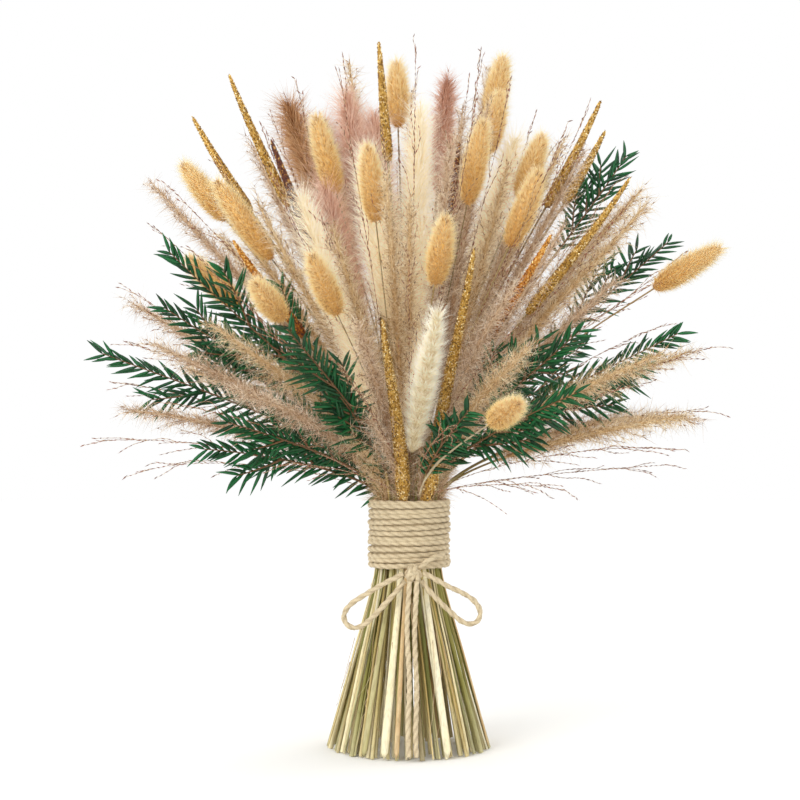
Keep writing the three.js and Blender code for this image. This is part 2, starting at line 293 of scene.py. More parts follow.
class Graph:
    """Adds nodes to a material's or a shape's tree."""

    def __init__(self, tree):
        self.tree = tree

    @staticmethod
    def pick(sockets, key):
        shown = [s for s in sockets if s.enabled]
        return shown[key] if isinstance(key, int) else next(s for s in shown if s.name == key)

    def node(self, kind, settings=None, values=None, out=0):
        """Any node: its settings come first, such as an operation, then its sockets' values or links."""
        made = self.tree.nodes.new(kind)
        for name, setting in (settings or {}).items():
            setattr(made, name, setting)
        for key, value in (values or {}).items():
            self.feed(self.pick(made.inputs, key), value)
        return Value(self, self.pick(made.outputs, out))

    def feed(self, socket, value):
        for item in value if isinstance(value, list) else [value]:
            if isinstance(item, Value):
                self.tree.links.new(item.socket, socket)
            else:
                socket.default_value = item

    def math(self, operation, *terms):
        """A Math node, or a Vector Math node where a term is a vector."""
        if not any(isinstance(t, tuple) or (isinstance(t, Value) and t.socket.type in ("VECTOR", "RGBA"))
                   for t in terms):
            return self.node("ShaderNodeMath", {"operation": operation}, dict(enumerate(terms)))
        wide = [t if isinstance(t, (Value, tuple)) else (t, t, t) for t in terms]
        return self.node("ShaderNodeVectorMath", {"operation": operation}, dict(enumerate(wide)))

    def clamp(self, value):
        return self.node("ShaderNodeClamp", None, {0: value})

    def split(self, vector, axis):
        return self.node("ShaderNodeSeparateXYZ", None, {0: vector}, axis)

    def noise(self, place, scale, detail, out="Fac"):
        return self.node("ShaderNodeTexNoise", None, {"Vector": place, "Scale": scale, "Detail": detail}, out)

    def mix(self, share, low, high):
        """Between two colours."""
        return self.node("ShaderNodeMix", {"data_type": "RGBA"}, {0: share, 1: low, 2: high})

    def ramp(self, value, stops):
        """A colour from a row of (place, colour) stops."""
        colour = self.node("ShaderNodeValToRGB", None, {0: value})
        row = colour.socket.node.color_ramp.elements
        while len(row) < len(stops):
            row.new(1.0)
        for element, (place, shade) in zip(row, stops):
            element.position, element.color = place, shade
        return colour


# ---- geometry trees ----

class Growth(Graph):
    """A Geometry Nodes tree with named inputs, which ends in Realize Instances and Set Material."""

    KINDS = {float: "NodeSocketFloat", int: "NodeSocketInt", str: "NodeSocketMaterial"}

    def __init__(self, name, **inputs):
        super().__init__(bpy.data.node_groups.new(name, "GeometryNodeTree"))
        self.tree.is_modifier = True
        face = self.tree.interface
        face.new_socket("Geometry", in_out="INPUT", socket_type="NodeSocketGeometry")
        for label, default in {**inputs, "Seed": 1, "Material": "none"}.items():
            label = label.replace("_", " ")
            made = face.new_socket(label, in_out="INPUT", socket_type=self.KINDS[type(default)])
            if not isinstance(default, str):
                made.default_value = default
        face.new_socket("Geometry", in_out="OUTPUT", socket_type="NodeSocketGeometry")
        self.entry = self.tree.nodes.new("NodeGroupInput")
        self.seeds = 0

    def __getitem__(self, name):
        return Value(self, self.entry.outputs[name])

    def random(self, low, high):
        """A random number or vector for each element, the same on each run."""
        self.seeds += 1
        kind = "FLOAT_VECTOR" if isinstance(low, tuple) else "FLOAT"
        return self.node("FunctionNodeRandomValue", {"data_type": kind},
                         {"Min": low, "Max": high, "Seed": self["Seed"] + self.seeds})

    def either_way(self, size=1.0):
        """A random vector inside a box of this half size."""
        return self.random((-1.0,) * 3, (1.0,) * 3) * size

    def read(self, name, kind="FLOAT"):
        return self.node("GeometryNodeInputNamedAttribute", {"data_type": kind}, {"Name": name})

    def heading(self, name):
        """A vector that each element carries: the way it grows, or its sway."""
        return self.read(name, "FLOAT_VECTOR")

    def keep(self, geometry, name, value, kind="FLOAT", domain="POINT"):
        return self.node("GeometryNodeStoreNamedAttribute", {"data_type": kind, "domain": domain},
                         {"Geometry": geometry, "Name": name, "Value": value})

    def place(self):
        return self.node("GeometryNodeInputPosition")

    def join(self, x, y, z):
        return self.node("ShaderNodeCombineXYZ", None, {0: x, 1: y, 2: z})

    def unit(self, vector):
        return self.node("ShaderNodeVectorMath", {"operation": "NORMALIZE"}, {0: vector})

    def cross(self, a, b):
        return self.node("ShaderNodeVectorMath", {"operation": "CROSS_PRODUCT"}, {0: a, 1: b})

    def moved(self, geometry, **how):
        values = {name.capitalize(): value for name, value in how.items()}
        return self.node("GeometryNodeSetPosition", None, {"Geometry": geometry, **values})

    def aimed(self, heading, face=None):
        """A rotation that sets Z along heading, and either turns X towards face or turns at random."""
        aim = self.node("FunctionNodeAlignRotationToVector", {"axis": "Z"}, {"Vector": heading})
        if face is not None:
            return self.node("FunctionNodeAlignRotationToVector", {"axis": "X", "pivot_axis": "Z"},
                             {"Rotation": aim, "Vector": face})
        roll = self.node("FunctionNodeEulerToRotation", None,
                         {0: self.join(0.0, 0.0, self.random(0.0, 2 * math.pi))})
        return self.node("FunctionNodeRotateRotation", {"rotation_space": "LOCAL"}, {0: aim, 1: roll})

    def on_points(self, points, shape, rotation, scale):
        made = self.node("GeometryNodeInstanceOnPoints", None,
                         {"Points": points, "Instance": shape, "Rotation": rotation, "Scale": scale})
        return self.node("GeometryNodeRealizeInstances", None, {0: made})

    def scattered(self, surface, density):
        """Points all over a surface."""
        return self.node("GeometryNodeDistributePointsOnFaces", {"distribute_method": "RANDOM"},
                         {"Mesh": surface, "Density": density, "Seed": self["Seed"]})

    def path(self, step=None):
        """The source's edges as curves, with points at even steps where a step is given."""
        curve = self.node("GeometryNodeMeshToCurve", None, {0: self["Geometry"]})
        if step is None:
            return curve
        return self.node("GeometryNodeResampleCurve", {"mode": "LENGTH"}, {0: curve, "Length": step})

    def spaced(self, curve, gap):
        """Points along a curve."""
        return self.node("GeometryNodeCurveToPoints", {"mode": "LENGTH"}, {0: curve, "Length": gap})

    def ring(self, corners):
        return self.node("GeometryNodeCurvePrimitiveCircle", None, {"Resolution": corners, "Radius": 1.0})

    def swept(self, curve, ring, size):
        """The closed solid that a ring of this size makes along a curve."""
        return self.node("GeometryNodeCurveToMesh", None,
                         {"Curve": curve, "Profile Curve": ring, "Scale": size, "Fill Caps": True})

    def cone(self, sides, bends, top):
        """An upright cone or prism one unit long."""
        return self.node("GeometryNodeMeshCone", {"fill_type": "NGON"},
                         {"Vertices": sides, "Side Segments": bends, "Radius Top": top,
                          "Radius Bottom": 1.0, "Depth": 1.0})

    def blade(self, sides, bends):
        """A closed tapering strand one unit long, with t running from 0 at its root to 1 at its tip."""
        return self.keep(self.cone(sides, bends, 0.0), "t", self.split(self.place(), 2))

    def seed(self):
        """A seed one unit long, with t running along it."""
        grain = self.node("GeometryNodeMeshUVSphere", None, {"Segments": 4, "Rings": 2, "Radius": 0.5})
        return self.keep(grain, "t", self.split(self.place(), 2) + 0.5)

    def strand_tone(self):
        """The tone of what a strand grows from, spread at random and kept below the spikelets' tones."""
        tone = self.read("tone") + self["Tone spread"] * self.random(-1.0, 1.0)
        return self.node("ShaderNodeClamp", None, {0: tone, 1: 0.0, 2: SPIKELET_TONE - 0.05})

    def swayed(self, grown):
        """Strands or leaves bent by the sway they carry, most at their tips."""
        return self.moved(grown, offset=self.heading("sway") * (self.read("t") ** 2.0))

    def strands(self, points, heading, length, width, bends, sway, droop):
        """A strand on each point, each with its own sway and droop as shares of its length."""
        pull = self.either_way(sway) + self.join(0.0, 0.0, -1.0 * droop)
        points = self.keep(points, "sway", pull * length, "FLOAT_VECTOR")
        grown = self.on_points(points, self.blade(3, bends), self.aimed(heading),
                               self.join(width, width, length))
        return self.swayed(grown)

    def finish(self, *parts):
        """Joins the parts, lays out their map from tone and t, and ends the tree."""
        whole = self.node("GeometryNodeJoinGeometry", None, {0: list(reversed(parts))})
        spread = self.node("GeometryNodeFieldOnDomain", {"data_type": "FLOAT_VECTOR", "domain": "POINT"},
                           {0: self.either_way(MAP_SPREAD)})
        across = MAP_EDGE + MAP_HAIR * self.clamp(self.read("tone"))
        along = MAP_EDGE + (1 - 2 * MAP_EDGE) * self.clamp(self.read("t"))
        whole = self.keep(whole, "OFBake", self.join(across, along, 0.0) + spread, "FLOAT2", "CORNER")
        return self.close(whole)

    def close(self, geometry):
        real = self.node("GeometryNodeRealizeInstances", None, {0: geometry})
        worn = self.node("GeometryNodeSetMaterial", None, {"Geometry": real, "Material": self["Material"]})
        self.feed(self.tree.nodes.new("NodeGroupOutput").inputs[0], worn)
        return self.tree


def hair_coat_tree():
    """Strands all over a core, each leaning from the surface's normal to the way the head grows."""
    g = Growth("Hair coat", Density=1e6, Length=0.006, Width=0.0001, Lean=0.5, Scatter=0.3, Sway=0.1,
               Droop=0.0, Tone_spread=0.3, Bends=1, Flecks=0.0)
    points = g.scattered(g["Geometry"], g["Density"])
    normal = points.of("Normal")
    tone = g.strand_tone()
    fleck = g.math("LESS_THAN", g.random(0.0, 1.0), g["Flecks"])
    points = g.keep(points, "tone", tone + fleck)
    heading = normal * (1.0 - g["Lean"]) + g.heading("grow") * g["Lean"]
    heading = heading + g.either_way() * g["Scatter"]
    length = g["Length"] * g.read("reach") * g.random(0.6, 1.1) * (1.0 - 0.4 * fleck)
    coat = g.strands(points, heading, length, g["Width"], g["Bends"], g["Sway"], g["Droop"])
    return g.finish(g["Geometry"], coat)


def feathering_tree():
    """Fine branches from chains of edges, with hairs and small dark spikelets along them."""
    g = Growth("Feathering", Thickness=0.0003, Taper=0.4, Hair_gap=0.0006, Length=0.006, Width=0.0001,
               Lean=0.5, Scatter=0.6, Sway=0.2, Droop=0.1, Tone_spread=0.3, Bends=1, Spikelet_gap=0.004,
               Spikelet_length=0.0025, Spikelet_width=0.0003)
    along = g.node("GeometryNodeSplineParameter")
    curve = g.keep(g.path(), "t", along)
    branches = g.swept(curve, g.ring(3), g["Thickness"] * (1.0 - along * (1.0 - g["Taper"])))
    hairs = g.spaced(curve, g["Hair gap"])
    tangent = hairs.of("Tangent")
    hairs = g.keep(hairs, "tone", g.strand_tone())
    heading = tangent * g["Lean"] + g.either_way() * g["Scatter"]
    length = g["Length"] * g.random(0.5, 1.15)
    coat = g.strands(hairs, heading, length, g["Width"], g["Bends"], g["Sway"], g["Droop"])
    seeds = g.spaced(curve, g["Spikelet gap"])
    tangent = seeds.of("Tangent")
    seeds = g.keep(seeds, "tone", g.random(SPIKELET_TONE, 1.0))
    slim = g["Spikelet width"] * g.random(0.6, 1.2)
    seeds = g.on_points(seeds, g.seed(), g.aimed(tangent + g.either_way() * 0.35),
                        g.join(slim, slim, g["Spikelet length"] * g.random(0.5, 1.2)))
    return g.finish(branches, coat, seeds)


def grain_tree():
    """Small seed grains packed over a spike."""
    g = Growth("Seed grains", Gap=0.0007, Grain=0.001, Lean=0.6)
    points = g.node("GeometryNodeDistributePointsOnFaces", {"distribute_method": "POISSON"},
                    {"Mesh": g["Geometry"], "Distance Min": g["Gap"], "Density Max": 4e6, "Seed": g["Seed"]})
    normal = points.of("Normal")
    points = g.keep(points, "tone", g.read("tone") + g.random(-0.48, 0.48))
    heading = normal * (1.0 - g["Lean"]) + g.heading("grow") * g["Lean"] + g.either_way(0.35)
    wide = g["Grain"] * g.random(0.45, 0.85)
    aim = g.aimed(heading)
    size = g.join(wide, wide, g["Grain"] * g.random(0.8, 1.7))
    grains = g.on_points(points, g.seed(), aim, size)
    grains = g.node("GeometryNodeSetShadeSmooth", None, {0: grains, "Shade Smooth": False})
    return g.finish(g["Geometry"], grains)


def leaf_row_tree():
    """Narrow pointed leaves in two ranks along a sprig."""
    g = Growth("Leaf rows", Gap=0.0016, Length=0.018, Width=0.0012, Spread_angle=0.7, Droop=0.15,
               Thickness=0.0008)
    along = g.node("GeometryNodeSplineParameter")
    curve = g.keep(g.path(), "t", along)
    stalk = g.swept(curve, g.ring(5), g["Thickness"] * (1.0 - along * 0.6))
    stalk = g.keep(stalk, "tone", STALK_TONE)
    points = g.spaced(curve, g["Gap"])
    tangent = points.of("Tangent")
    share = g.read("t")
    points = g.keep(points, "tone", g.random(0.0, 0.8))
    out = g.heading("grow")
    side = g.unit(g.cross(tangent, out))
    rank = (g.node("GeometryNodeInputIndex") % 2.0) * 2.0 - 1.0  # one side and the other by turns
    roll = g.random(-0.75, 0.75)
    wing = side * rank * g.math("COSINE", roll) + out * g.math("SINE", roll)
    angle = g["Spread angle"] * g.random(0.65, 1.25) * (1.1 - 0.45 * share)
    heading = tangent * g.math("COSINE", angle) + wing * g.math("SINE", angle)
    bell = g.math("SINE", 0.35 + share * 2.35)  # the longest leaves are in the middle of the sprig
    length = g["Length"] * g.random(0.72, 1.12) * (0.5 + 0.5 * bell)
    bow = tangent * g.random(-0.05, 0.2) - g.join(0.0, 0.0, g["Droop"]) + g.either_way(0.09)
    points = g.keep(points, "sway", bow * length, "FLOAT_VECTOR")
    t = g.split(g.place(), 2)
    shape = g.keep(g.cone(4, 5, 1.0), "t", t)
    belly = g.math("SINE", math.pi * (0.04 + 0.94 * t) ** 0.75) ** 0.8
    across = g.split(g.place(), 0)
    thick = g.split(g.place(), 1) * 0.16 + g.math("ABSOLUTE", across) * 0.35
    shape = g.moved(shape, position=g.join(across * belly, thick * belly, t))
    leaves = g.on_points(points, shape, g.aimed(heading, g.cross(heading, out)),
                         g.join(g["Width"], g["Width"], length))
    return g.finish(stalk, g.swayed(leaves))


def bare_stem_tree():
    """A ridged, slightly flattened straw along a chain of edges, with a swelling at each joint."""
    g = Growth("Bare stem", Radius=0.0016, Neck=0.5, Ridge=0.12, Flatness=0.2, Joint_gap=0.06, Turn=0.0,
               Wave=0.0003, Step=0.004, Tone=0.5)
    curve = g.path(g["Step"])
    shift = g.noise(g.place() + g["Tone"] * 7.0, 22.0, 1.0, "Color")
    along = g.node("GeometryNodeSplineParameter")
    length = along.of("Length")
    free = g.clamp(length * 60.0)  # the cut end stays where it stands
    curve = g.moved(curve, offset=(shift - (0.5, 0.5, 0.5)) * (2.0, 2.0, 0.0) * g["Wave"] * free)
    curve = g.node("GeometryNodeSetCurveTilt", None, {0: curve, "Tilt": g["Turn"] + length * 9.0})
    curve = g.keep(curve, "t", along)
    groove = 1.0 - g["Ridge"] * (g.node("GeometryNodeInputIndex") % 2.0)
    ring = g.moved(g.ring(8), position=g.place() * groove * g.join(1.0, 1.0 - g["Flatness"], 1.0))
    ring = g.keep(ring, "turn", g.node("GeometryNodeSplineParameter"))
    phase = g.math("ABSOLUTE", g.math("SINE", (length / g["Joint gap"] + g["Turn"]) * math.pi))
    swelling = 1.0 + 0.22 * g.clamp(1.0 - phase * 12.0)
    size = g["Radius"] * (1.0 - along * (1.0 - g["Neck"])) * swelling
    straw = g.keep(g.swept(curve, ring, size), "tone", g["Tone"])
    across = 0.84 + 0.15 * g.read("turn")  # beside the strands on the piece's map
    up = MAP_EDGE + (1 - 2 * MAP_EDGE) * g.read("t")
    straw = g.keep(straw, "OFBake", g.join(across, up, 0.0), "FLOAT2", "CORNER")
    return g.close(straw)


def twine_tree():
    """Two plies twisted about each other along a chain of edges, with loose fibres."""
    g = Growth("Twisted twine", Radius=0.0017, Lay_length=0.009, Step=0.0009, Unevenness=0.2,
               Fibres=2e5, Fibre_length=0.002)
    along = g.node("GeometryNodeSplineParameter")
    tilt = along.of("Length") / g["Lay length"] * (2 * math.pi)
    curve = g.node("GeometryNodeSetCurveTilt", None, {0: g.path(g["Step"]), "Tilt": tilt})
    curve = g.keep(curve, "t", along)
    curve = g.keep(curve, "grow", g.node("GeometryNodeInputTangent"), "FLOAT_VECTOR")
    waist = 0.68  # the two plies' shared width where they meet, as a share of the twine's
    plies = waist + 0.32 * (g.math("ABSOLUTE", g.split(g.place(), 0)) ** 0.7)
    ring = g.moved(g.ring(14), position=g.place() * plies)
    ring = g.keep(ring, "turn", (plies - waist) * 3.0)
    uneven = g.noise(g.place(), 150.0, 2.0)
    size = g["Radius"] * (1.0 + g["Unevenness"] * (uneven - 0.5) * 2.0)
    rope = g.swept(curve, ring, size)
    rough = g.noise(g.place(), 1300.0, 1.0)
    normal = g.node("GeometryNodeInputNormal")
    rope = g.moved(rope, offset=normal * (rough - 0.5) * g["Radius"] * 0.3)
    # tone is high on the plies' raised tops and low in the groove between them, for the jute finish's painted
    # highlight and painted shade, with the twine's unevenness on top.
    rope = g.keep(rope, "tone", g.read("turn") * 0.5 + (uneven - 0.5) * 0.3)
    points = g.scattered(rope, g["Fibres"])
    lie = g.heading("grow") * 0.9 + points.of("Normal") * 0.22 + g.either_way(0.55)
    points = g.keep(points, "tone", g.random(0.3, 1.0))
    length = g["Fibre length"] * g.random(0.4, 1.0)
    fibres = g.strands(points, lie, length, 0.08 * MM, 1, 0.1, 0.0)
    return g.close(g.node("GeometryNodeJoinGeometry", None, {0: [fibres, rope]}))


def grown(tree, source, **sizes):
    """The plain mesh that a tree makes on a mesh, with its inputs set by identifier."""
    item = bpy.data.objects.new("growing", source)
    bpy.context.scene.collection.objects.link(item)
    modifier = item.modifiers.new("growth", "NODES")
    modifier.node_group = tree
    wanted = {name.replace("_", " "): size for name, size in sizes.items()}
    for socket in tree.interface.items_tree:
        if socket.in_out == "INPUT" and socket.name in wanted:
            modifier[socket.identifier] = wanted.pop(socket.name)
    if wanted:
        raise ValueError(f"{tree.name} has no input named {sorted(wanted)}")
    item.update_tag()
    made = item.evaluated_get(bpy.context.evaluated_depsgraph_get())
    mesh = bpy.data.meshes.new_from_object(made)
    item.modifiers.remove(modifier)
    bpy.data.objects.remove(item)
    bpy.data.meshes.remove(source)
    for name in ("grow", "reach", "sway", "turn"):
        if name in mesh.attributes:
            mesh.attributes.remove(mesh.attributes[name])
    return mesh


def piece(name, meshes, slot, *stood_for):
    """One finished piece of several meshes, at the origin, riding on the bunch."""
    parts = []
    for mesh in meshes:
        part = bpy.data.objects.new(name, mesh)
        bpy.context.scene.collection.objects.link(part)
        parts.append(part)
    whole = parts[0]
    if len(parts) > 1:
        with bpy.context.temp_override(active_object=whole, selected_editable_objects=parts):
            bpy.ops.object.join()
    whole.name = whole.data.name = name
    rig.ride(whole, "root")
    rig.slot(whole, slot)
    if stood_for:
        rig.replaces(whole, *stood_for)
    return whole


# ---- lines and cores ----

class Line:
    """A smooth line through points, read by length along it."""

    def __init__(self, points, steps=12):
        p = np.array(points, float)
        ends = np.vstack([2 * p[0] - p[1], p, 2 * p[-1] - p[-2]])
        u = np.linspace(0, 1, steps, endpoint=False)[:, None]
        found = []
        for a, b, c, d in zip(ends, ends[1:], ends[2:], ends[3:]):
            found.append(0.5 * (2 * b + (c - a) * u + (2 * a - 5 * b + 4 * c - d) * u**2
                                + (3 * b - a - 3 * c + d) * u**3))
        self.points = np.vstack([*found, p[-1:]])
        steps_between = np.linalg.norm(np.diff(self.points, axis=0), axis=1)
        self.lengths = np.concatenate([[0], np.cumsum(steps_between)])
        self.length = self.lengths[-1]

    def at(self, length):
        """The point, or row of points, at this length from the start."""
        return np.stack([np.interp(length, self.lengths, c) for c in self.points.T], -1)

    def heading(self, length):
        """The unit vector along the line at this length."""
        length, step = np.asarray(length), 1.5 * MM
        way = self.at(np.minimum(length + step, self.length)) - self.at(np.maximum(length - step, 0))
        return way / np.linalg.norm(way, axis=-1, keepdims=True)


def packed_stem(name):
    """A packed stem's line from its cut end to its tip, the length at which its head begins, and the radii of
    the head and of the stem. The solid's rings are found one after another, from its tip down."""
    solid = bmesh.new()
    solid.from_mesh(NODES[name].data)
    bmesh.ops.remove_doubles(solid, verts=solid.verts, dist=1e-5)
    tip = max(solid.verts, key=lambda v: (v.co - Vector(TIE_MIDDLE)).length)
    rings, seen = [[tip]], {tip}
    while True:
        ring = []
        for v in rings[-1]:
            for other in (e.other_vert(v) for e in v.link_edges):
                if other not in seen:
                    seen.add(other)
                    ring.append(other)
        if not ring:
            break
        rings.append(ring)
    rings = [np.array([v.co for v in ring]) for ring in rings[:-1]]
    solid.free()
    middles = np.array([ring.mean(0) for ring in rings])[::-1]
    radii = np.array([np.linalg.norm(ring - ring.mean(0), axis=1).mean() for ring in rings])[::-1]
    line = Line(middles)
    nearest = np.linalg.norm(line.points - middles[HEAD_FROM], axis=1).argmin()
    return line, line.lengths[nearest], radii[HEAD_FROM + 1:].max(), radii[1]


def filling_stem(turn, tip, arch=8 * MM, out=0.79, foot_out=0.95):
    """A stem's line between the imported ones: straight up to the tie, through it, and out to its tip. out and
    foot_out are shares of the radii of the tie and the foot, and arch is how far it bows up."""
    lean = turn + math.radians(9)  # the stems cross the tie with a slight twist
    tie = np.array([math.cos(turn), math.sin(turn), 0]) * TIE_RADIUS * out
    foot = np.array([math.cos(lean), math.sin(lean), 0]) * FOOT_RADIUS * foot_out + [0, 0, FLOOR_GAP]
    waist, leave = tie + [0, 0, TIE_BOTTOM], tie + [0, 0, TIE_TOP]
    tip = np.array(tip, float)
    rise = 4 * MM + 0.3 * max(0, tip[2] - TIE_TOP)
    pull = leave * 0.4 + tip * 0.6 + [0, 0, arch]
    u = np.linspace(0, 1, 9)[1:, None]
    bend = ((1 - u) ** 3 * leave + 3 * (1 - u) ** 2 * u * (leave + [0, 0, rise])
            + 3 * (1 - u) * u**2 * pull + u**3 * tip)
    return Line(np.vstack([foot, foot * 0.5 + waist * 0.5, waist, leave, bend]))


def bowed(line, offset):
    """The same line, moved by up to this offset between the tie and its tip, most in its lower half."""
    low = TIE_TOP - 6 * MM  # where it starts to bow, inside the tie
    above = np.clip((line.points[:, 2:] - low) / (line.points[-1, 2] - low), 0, 1)
    return Line((line.points + offset * np.sin(math.pi * above**0.45))[::6], 6)


def chains(lines, tones=None, facing=None):
    """Polylines as a mesh of edges, root first, each with its own tone. facing is where their leaves look."""
    mesh = bpy.data.meshes.new("chains")
    verts = np.vstack(lines)
    counts = [len(line) for line in lines]
    starts = np.concatenate([[0], np.cumsum(counts)[:-1]])
    edges = [(s + i, s + i + 1) for s, n in zip(starts, counts) for i in range(n - 1)]
    mesh.from_pydata(verts.tolist(), edges, [])
    if tones is not None:
        mesh.attributes.new("tone", "FLOAT", "POINT").data.foreach_set(
            "value", np.repeat(np.asarray(tones, np.float32), counts))
    if facing is not None:
        mesh.attributes.new("grow", "FLOAT_VECTOR", "POINT").data.foreach_set(
            "vector", np.tile(np.asarray(facing, np.float32), len(verts)))
    return mesh


def core(line, start, radius, profile, rng, tones=(0.35, 0.65), sides=10, rings=12, reach=None, flat=0.0):
    """A turned or flattened solid along a line, whose profile gives its radius on the way. It carries what
    the strands that grow from it read: their tone, the way they grow, and their reach. flat narrows it."""
    share = (np.arange(rings) + 0.5) / rings
    long = line.length - start
    centre = line.at(start + share * long)
    way = line.heading(start + share * long)
    mean = way.mean(0)
    other = np.eye(3)[np.abs(mean).argmin()]
    side = np.cross(way, other)
    side /= np.linalg.norm(side, axis=1, keepdims=True)
    third = np.cross(way, side)
    turn = np.arange(sides) / sides * 2 * math.pi
    size = (radius * profile(share))[:, None, None]
    ring = centre[:, None] + size * (np.cos(turn)[None, :, None] * side[:, None] * (1 - flat)
                                     + np.sin(turn)[None, :, None] * third[:, None])
    verts = np.vstack([line.at(start)[None], ring.reshape(-1, 3), line.at(line.length)[None]])
    last = len(verts) - 1
    faces = []
    for j in range(sides):
        k = (j + 1) % sides
        faces.append((0, 1 + k, 1 + j))
        faces.append((last, last - sides + j, last - sides + k))
        for i in range(rings - 1):
            a, b = 1 + i * sides, 1 + (i + 1) * sides
            faces.append((a + j, a + k, b + k, b + j))
    mesh = bpy.data.meshes.new("core")
    mesh.from_pydata(verts.tolist(), [], faces)
    solid = bmesh.new()
    solid.from_mesh(mesh)
    bmesh.ops.recalc_face_normals(solid, faces=solid.faces)
    solid.to_mesh(mesh)
    solid.free()
    shares = np.concatenate([[0], np.repeat(share, sides), [1]]).astype(np.float32)
    grow = np.vstack([way[:1], np.repeat(way, sides, axis=0), way[-1:]]).astype(np.float32)
    long_hair = np.ones(len(shares)) if reach is None else reach(shares)
    tone = tones[0] + (tones[1] - tones[0]) * shares + rng.uniform(-0.04, 0.04, len(shares))
    tone = tone + 0.45 * (long_hair - long_hair.mean())  # longer hair is paler and shorter hair darker: painted shade where the coat dips
    # In the hair finishes, the heart's t near 0 gives it the strands' darker root colours: painted shade of the depth
    # under the coat.
    kept = {"tone": tone, "t": rng.uniform(0.0, 0.12, len(shares)), "reach": long_hair}
    for name, values in kept.items():
        mesh.attributes.new(name, "FLOAT", "POINT").data.foreach_set("value", values.astype(np.float32))
    mesh.attributes.new("grow", "FLOAT_VECTOR", "POINT").data.foreach_set("vector", grow.ravel())
    return mesh


def egg(s):
    """Blunt at the stem, widest below the middle, narrower at the tip."""
    return np.sin(np.pi * s**0.72) ** 0.62


def brush(s):
    """Slim at both ends and full between."""
    return np.sin(np.pi * (0.03 + 0.94 * s) ** 0.85) ** 0.7


def taper(s):
    """Full from its foot, and down to a thin tip."""
    return (0.12 + 0.88 * (1 - s) ** 0.6) * np.clip(0.5 + s * 6, 0, 1)


def stub(s):
    """Full from its foot up, and rounded at the tip."""
    return (1 - 0.97 * s**3) ** 0.6


def side_branches(line, start, count, rng, spread, long, droop=0.12, wave=0.06, points=6):
    """Fine branches that leave a head all round, longest below its middle: a list of polylines."""
    found = []
    for i in range(count):
        share = ((i + rng.uniform(0, 1)) / count) ** 0.9
        at = start + share * (line.length - start) * 0.985  # none at the very tip
        root, way = line.at(at), line.heading(at)
        turn = i * GOLDEN + rng.uniform(-0.5, 0.5)
        side = np.cross(way, [0.3, 0.1, 1.0])
        side /= np.linalg.norm(side)
        third = np.cross(way, side)
        out = math.cos(turn) * side + math.sin(turn) * third
        angle = spread * rng.uniform(0.6, 1.3) * (1 - 0.55 * share)
        heading = way * math.cos(angle) + out * math.sin(angle)
        bell = math.sin(math.pi * (0.12 + 0.88 * share) ** 0.8)
        reach = long * rng.uniform(0.7, 1.15) * (0.42 + 0.58 * bell)
        u = np.linspace(0, 1, points)[:, None]
        sway = rng.normal(0, wave, 3)
        curl = rng.normal(0, wave, 3)
        bend = way * 0.28 * (1 - math.cos(angle)) + sway + [0, 0, -droop * rng.uniform(0.4, 1.4)]
        found.append(root + reach * (heading * u + bend * u**2 + curl * np.sin(u * 2 * math.pi) * 0.5))
    return found


# ---- materials ----

def screen(r, g, b):
    """A colour as it looks on a screen, in the linear numbers that materials use."""
    return tuple(c / 12.92 if c <= 0.04045 else ((c + 0.055) / 1.055) ** 2.4 for c in (r, g, b)) + (1.0,)


def finish_of(name, roughness, **constants):
    """A new material and its graph, with a shader whose constant numbers are set on its own sockets."""
    material = bpy.data.materials.new(name)
    material.use_nodes = True
    tree = material.node_tree
    tree.nodes.clear()
    g = Graph(tree)
    shader = g.node("ShaderNodeBsdfPrincipled", None, {"Roughness": roughness, **constants})
    g.feed(g.tree.nodes.new("ShaderNodeOutputMaterial").inputs["Surface"], shader)
    return material, g, shader.socket.node


def named(g, name):
    return g.node("ShaderNodeAttribute", {"attribute_name": name}, None, "Fac")


def place_on(g):
    return g.node("ShaderNodeTexCoord", None, None, "Object")


def grain_of(g, scale, detail=3.0, stretch=(1.0, 1.0, 1.0)):
    """Noise in the piece's own coordinates."""
    moved = g.node("ShaderNodeMapping", None, {"Vector": place_on(g), "Scale": stretch})
    return g.noise(moved, scale, detail)


def bumped(g, shader, height, strength, distance=0.3 * MM):
    bump = g.node("ShaderNodeBump", None, {"Strength": strength, "Distance": distance, "Height": height})
    g.feed(shader.inputs["Normal"], bump)


def even(*shades, top=0.86):
    """Shades spread evenly over the tones."""
    return [(top * i / max(1, len(shades) - 1), screen(*shade)) for i, shade in enumerate(shades)]


def hair_finish(name, roots, tips, spikelets=(), roughness=0.8, fall=1.0, glow=0.1, **constants):
    """Strands that go from one row of shades at the root to another at the tip, each row from low tones to
    high ones. The root row is darker, partly the plants' own colour and partly painted shade of the depth
    under the coat, which the hearts take too as their t stays near 0. The spikelets' shades are above them,
    and glow is emission in the strands' own colour: painted light that stands in for light passing through
    and bouncing among the strands."""
    material, g, shader = finish_of(name, roughness, **{"Emission Strength": glow}, **constants)
    tone, t = g.clamp(named(g, "tone")), g.clamp(named(g, "t"))
    above = [(SPIKELET_TONE - 0.015 + 0.1 * i, screen(*shade)) for i, shade in enumerate(spikelets)]
    low, high = (g.ramp(tone, [*even(*row), *above]) for row in (roots, tips))
    strand = g.mix(t ** fall, low, high)
    g.feed(shader.inputs["Base Color"], strand)
    # Painted light: the strands emit their own colour, standing in for light that passes through them and bounces
    # among them.
    g.feed(shader.inputs["Emission Color"], strand)
    return material


def gilt_finish(name, *shades, metallic=0.55, roughness=0.36):
    """Gilded grains: the lowest tones are dark, dull grains that stand in for the gaps between seeds, as painted
    shade; above them, metal that goes from deep to bright.
    """
    material, g, shader = finish_of(name, roughness)
    tone = g.clamp(named(g, "tone"))
    g.feed(shader.inputs["Base Color"], g.ramp(tone, even(*shades, top=1.0)))
    g.feed(shader.inputs["Metallic"], g.clamp(tone * 3.0) * metallic)
    g.feed(shader.inputs["Roughness"], roughness + 0.3 * (1.0 - g.clamp(tone * 2.0)))
    return material


